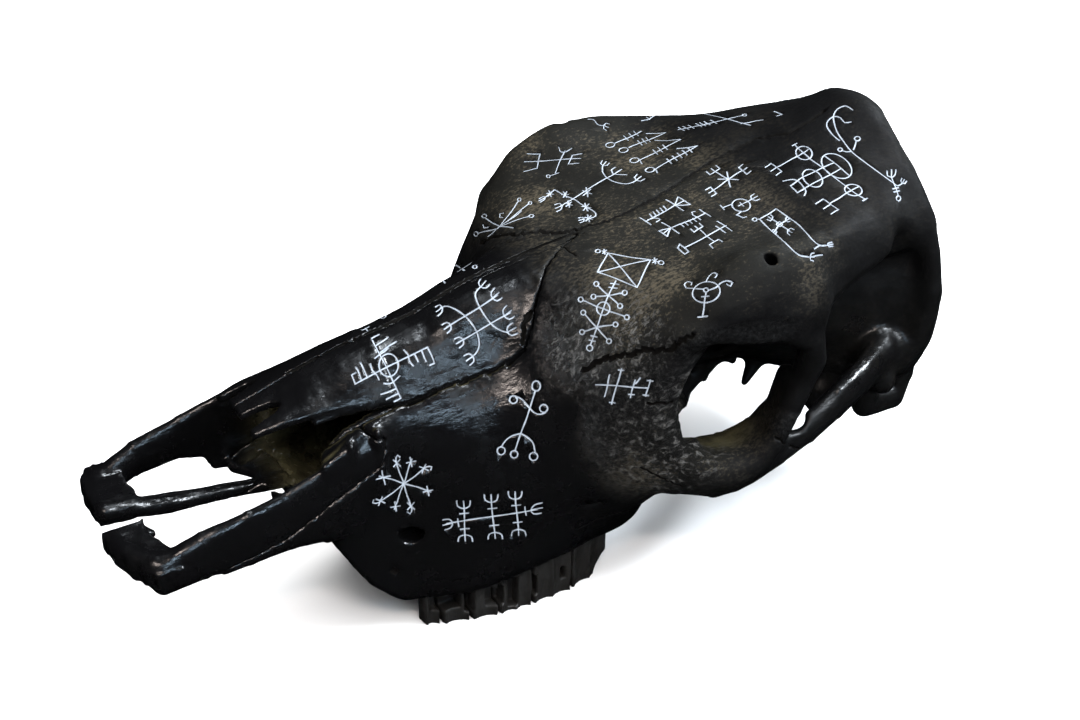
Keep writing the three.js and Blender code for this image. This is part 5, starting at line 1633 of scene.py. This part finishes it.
def carve(target, cutters):
    """Cuts the grooves out of the bones, in groups whose members keep clear of each other."""
    for number, piece in enumerate(target.pieces):
        groups = []
        members = []
        for places, pieces, cutter in cutters:
            if number not in pieces:
                continue
            chosen = apart(groups, places)
            groups[chosen].append(places)
            if chosen == len(members):
                members.append([])
            members[chosen].append(cutter)
        for group in members:
            points = []
            faces = []
            indices = []
            offset = 0
            for group_points, group_faces, index in group:
                points.append(group_points)
                faces.append(group_faces + offset)
                indices += [index] * len(group_faces)
                offset += len(group_points)
            tool = mesh_object("cutter", np.concatenate(points), np.concatenate(faces))
            for material in CARVED_MATERIALS:
                tool.data.materials.append(material)
            tool.data.polygons.foreach_set("material_index", indices)
            cut = piece.modifiers.new("carve", "BOOLEAN")
            cut.operation = "DIFFERENCE"
            cut.solver = "MANIFOLD"
            cut.object = tool
            apply_modifiers(piece)
            bpy.data.objects.remove(tool)


# Open sutures, cracks and notches: width and depth in millimetres, jitter in pixels, and the way in pixels

CRACKS = [
    (2.1, 1.0, 0.7, [(562, 238), (583, 227), (608, 221), (627, 212), (660, 195), (710, 162), (755, 139),
                     (789, 133), (810, 121), (824, 111)]),
    (1.9, 0.9, 0.5, [(287, 373), (335, 349), (377, 329), (409, 314), (441, 295), (472, 276), (514, 257),
                     (560, 239)]),
    (2.4, 1.3, 1.3, [(479, 244), (496, 237), (521, 234), (540, 231), (560, 233), (581, 228)]),
    (2.6, 2.0, 0.8, [(531, 312), (524, 325), (523, 344)]),
    (2.6, 1.3, 2.4, [(581, 372), (601, 361), (627, 354), (640, 351), (660, 351), (667, 349), (680, 341),
                     (693, 335)]),
    (1.6, 1.0, 1.2, [(647, 403), (660, 404), (672, 402)]),
    (1.0, 0.7, 0.8, [(640, 467), (664, 479), (682, 487)]),
    (0.9, 0.6, 0.8, [(587, 505), (602, 502), (604, 505)]),
    (0.9, 0.6, 0.8, [(574, 531), (595, 520), (611, 514), (635, 511)]),
    (1.4, 0.9, 1.2, [(774, 437), (786, 444), (798, 448)]),
    (1.0, 0.7, 0.8, [(561, 246), (568, 250), (576, 256)]),
    (0.7, 0.5, 0.4, [(472, 282), (514, 263), (562, 244), (584, 233)]),
    (3.4, 1.6, 0.0, [(393, 570), (396, 572)]),
]
CRACK_STEP = 3.0


def jagged(points, jitter, random):
    """The pixel row through the points at even steps, each moved by up to the jitter."""
    points = np.asarray(points, float)
    row = []
    for a, b in zip(points[:-1], points[1:]):
        steps = max(1, int(np.linalg.norm(b - a) / CRACK_STEP))
        for i in range(steps):
            row.append(a + (b - a) * i / steps + random.uniform(-jitter, jitter, 2))
    return row + [points[-1]]


def crack_cutters(target):
    random = np.random.default_rng(61)
    cutters = []
    for width, depth, jitter, points in CRACKS:
        row = jagged(points, jitter, random)
        for places, normals, pieces, whole in drawn_on(target, row, False):
            spread = random.uniform(0.65, 1.3, len(places)) if jitter > 0 else np.ones(len(places))
            cutter = groove_cutter(places, normals, whole, width * spread, depth, GROOVE_SLOT)
            cutters.append((places, pieces, cutter))
    return cutters


# The signs' grooves: width and depth in millimetres, and how far the width wavers and thins to the right

SIGN_WIDTH = 0.88
SIGN_DEPTH = 0.35
SIGN_WAVER = 0.12
SIGN_THINNING = 0.3


def sign_cutters(target):
    pen = Pen()
    for sign in SIGNS:
        sign(pen)
    cutters = []
    for row, closed in pen.strokes:
        for places, normals, pieces, whole in drawn_on(target, row, closed):
            steps = np.arange(len(places))
            widths = SIGN_WIDTH * (1 + SIGN_WAVER * np.sin(0.9 * steps + row[0, 0]))
            widths = widths * (1 - SIGN_THINNING * smoothstep(30, 70, places[:, 1]))
            cutter = groove_cutter(places, normals, whole, widths, SIGN_DEPTH, BARE_SLOT)
            cutters.append((places, pieces, cutter))
    return cutters


# Where the bone is glossy, brown, fibrous or golden


def gloss_zone(points):
    x, y, z = points.T
    face_side = smoothstep(-10, -22, y) * smoothstep(250, 215, x)
    gloss = 0.9 * face_side
    gloss = np.maximum(gloss, 0.9 * smoothstep(150, 120, x))
    gloss = np.maximum(gloss, 0.85 * smoothstep(250, 205, x))
    gloss = np.maximum(gloss, 0.85 * blob(points, (372, -78, 108), (70, 46, 44)))
    gloss = np.maximum(gloss, 0.6 * smoothstep(145, 120, z) * smoothstep(300, 330, x))
    return gloss * (1 - 0.9 * spongy_zone(points))


def brown_zone(points, normals):
    """Near 1 on the brow and the cheek, low on the poll, 0 where the stain is black."""
    x, y, z = points.T
    top = smoothstep(0.1, 0.6, normals[:, 2])
    brow = smoothstep(215, 265, x) * smoothstep(132, 150, z) * (1 - 0.92 * smoothstep(322, 368, x))
    brown = brow * top * (1 - 0.6 * smoothstep(-90, -102, y))
    brown = np.maximum(brown, 0.9 * blob(points, (270, -80, 96), (62, 40, 46)))
    brown = np.maximum(brown, 0.85 * blob(points, (238, -62, 146), (46, 40, 36)))
    brown = np.maximum(brown, 0.06 * smoothstep(300, 340, x))
    return brown


def fibre_zone(points):
    """1 on the rough fibrous bone in front of and under the left eye socket."""
    cheek = blob(points, (262, -78, 104), (48, 40, 46))
    return np.maximum(cheek, 0.8 * blob(points, (236, -60, 146), (44, 40, 34)))


def gold_zone(points, normals):
    """Above 0 on the bare golden bone inside the eye sockets and the nose."""
    x, y, z = points.T
    side = np.abs(y)
    sockets = blob(np.stack([x, side, z], axis=1), (292, 72, 80), (42, 20, 13))
    inward = smoothstep(0.0, -0.35, normals[:, 1] * np.sign(y))
    upward = smoothstep(0.3, 0.7, normals[:, 2]) * smoothstep(84, 78, z)
    nose = smoothstep(84, 100, x) * smoothstep(235, 200, x) * smoothstep(37, 34, side)
    nose = nose * smoothstep(56, 64, z) * smoothstep(135, 125, z)
    return np.maximum(0.7 * sockets, nose * np.maximum(inward, upward))


def store(piece, name, values):
    layer = piece.data.attributes.new(name, "FLOAT", "POINT")
    layer.data.foreach_set("value", np.asarray(values, np.float32))


def finish_piece(piece, node):
    points = points_of(piece)
    normals = normals_of(piece)
    store(piece, "gloss", gloss_zone(points))
    store(piece, "brown", brown_zone(points, normals))
    store(piece, "gold", gold_zone(points, normals))
    store(piece, "rough", spongy_zone(points))
    store(piece, "fibre", fibre_zone(points))
    set_points(piece, to_frame(points))
    piece.data.shade_smooth()
    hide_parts(node)
    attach(piece, "root")


def dress(piece, materials):
    for material in materials:
        piece.data.materials.append(material)


carved = [cranium, nasal_bones["left"], nasal_bones["right"]]
for piece in carved + list(incisive_bones.values()):
    dress(piece, CARVED_MATERIALS)
for piece in teeth.values():
    dress(piece, [TOOTH])
target = Target(carved)
signs = sign_cutters(target)
carve(target, crack_cutters(target))
carve(target, signs)
finish_piece(cranium, "cranium")
for side in ("left", "right"):
    finish_piece(nasal_bones[side], f"nasal_bone_{side}")
    finish_piece(incisive_bones[side], f"incisive_bone_{side}")
for name, piece in teeth.items():
    finish_piece(piece, name)


# The floor and the light


def make_floor():
    mesh = bpy.data.meshes.new("floor")
    reach = 12.0
    corners = [(-reach, -reach, 0), (reach, -reach, 0), (reach, reach, 0), (-reach, reach, 0)]
    mesh.from_pydata(corners, [], [(0, 1, 2, 3)])
    floor = bpy.data.objects.new("floor", mesh)
    floor.visible_glossy = False
    bpy.context.scene.collection.objects.link(floor)
    n = Nodes("pale_floor")
    n.shader.inputs["Base Color"].default_value = (0.86, 0.86, 0.86, 1)
    n.shader.inputs["Roughness"].default_value = 0.9
    n.shader.inputs["Specular IOR Level"].default_value = 0.0
    mesh.materials.append(n.material)


def add_light(name, kind, place, power):
    """A light that shines from the place, in metres, to the middle of the skull."""
    data = bpy.data.lights.new(name, kind)
    data.energy = power
    light = bpy.data.objects.new(name, data)
    light.location = place
    away = Vector((0.0, 0.0, 0.1)) - Vector(place)
    light.rotation_euler = away.to_track_quat("-Z", "Y").to_euler()
    bpy.context.scene.collection.objects.link(light)
    return light


def make_light():
    """An even white studio with a broad overhead light and soft boxes for the highlights."""
    world = bpy.data.worlds.new("studio")
    world.use_nodes = True
    world.node_tree.nodes["Background"].inputs["Color"].default_value = (1, 1, 1, 1)
    world.node_tree.nodes["Background"].inputs["Strength"].default_value = 0.9
    world.cycles_visibility.diffuse = False
    world.cycles_visibility.glossy = False
    bpy.context.scene.world = world
    overhead = add_light("overhead", "SUN", (0.12, -0.12, 1.6), 8.0)
    overhead.data.angle = math.radians(100)
    overhead.visible_glossy = False
    cool = (0.86, 0.93, 1.0)
    for name, place, power, width, height, colour in (
        ("left_back", (1.0, -0.8, 1.15), 30, 0.5, 0.16, cool),
        ("above", (0.45, -0.1, 1.6), 11, 0.5, 0.1, cool),
        ("left_low", (0.1, -1.43, 0.92), 3.5, 0.45, 0.08, (0.6, 0.8, 1.0)),
        ("left_front", (-0.45, -1.02, 1.3), 8, 0.45, 0.12, (1.0, 0.87, 0.8)),
        ("right_back", (1.2, 0.2, 0.7), 12, 0.25, 0.5, cool),
    ):
        soft_box = add_light(name, "AREA", place, power)
        soft_box.data.color = colour
        soft_box.data.shape = "RECTANGLE"
        soft_box.data.size = width
        soft_box.data.size_y = height


make_floor()
make_light()
bpy.context.scene.view_settings.view_transform = "Standard"
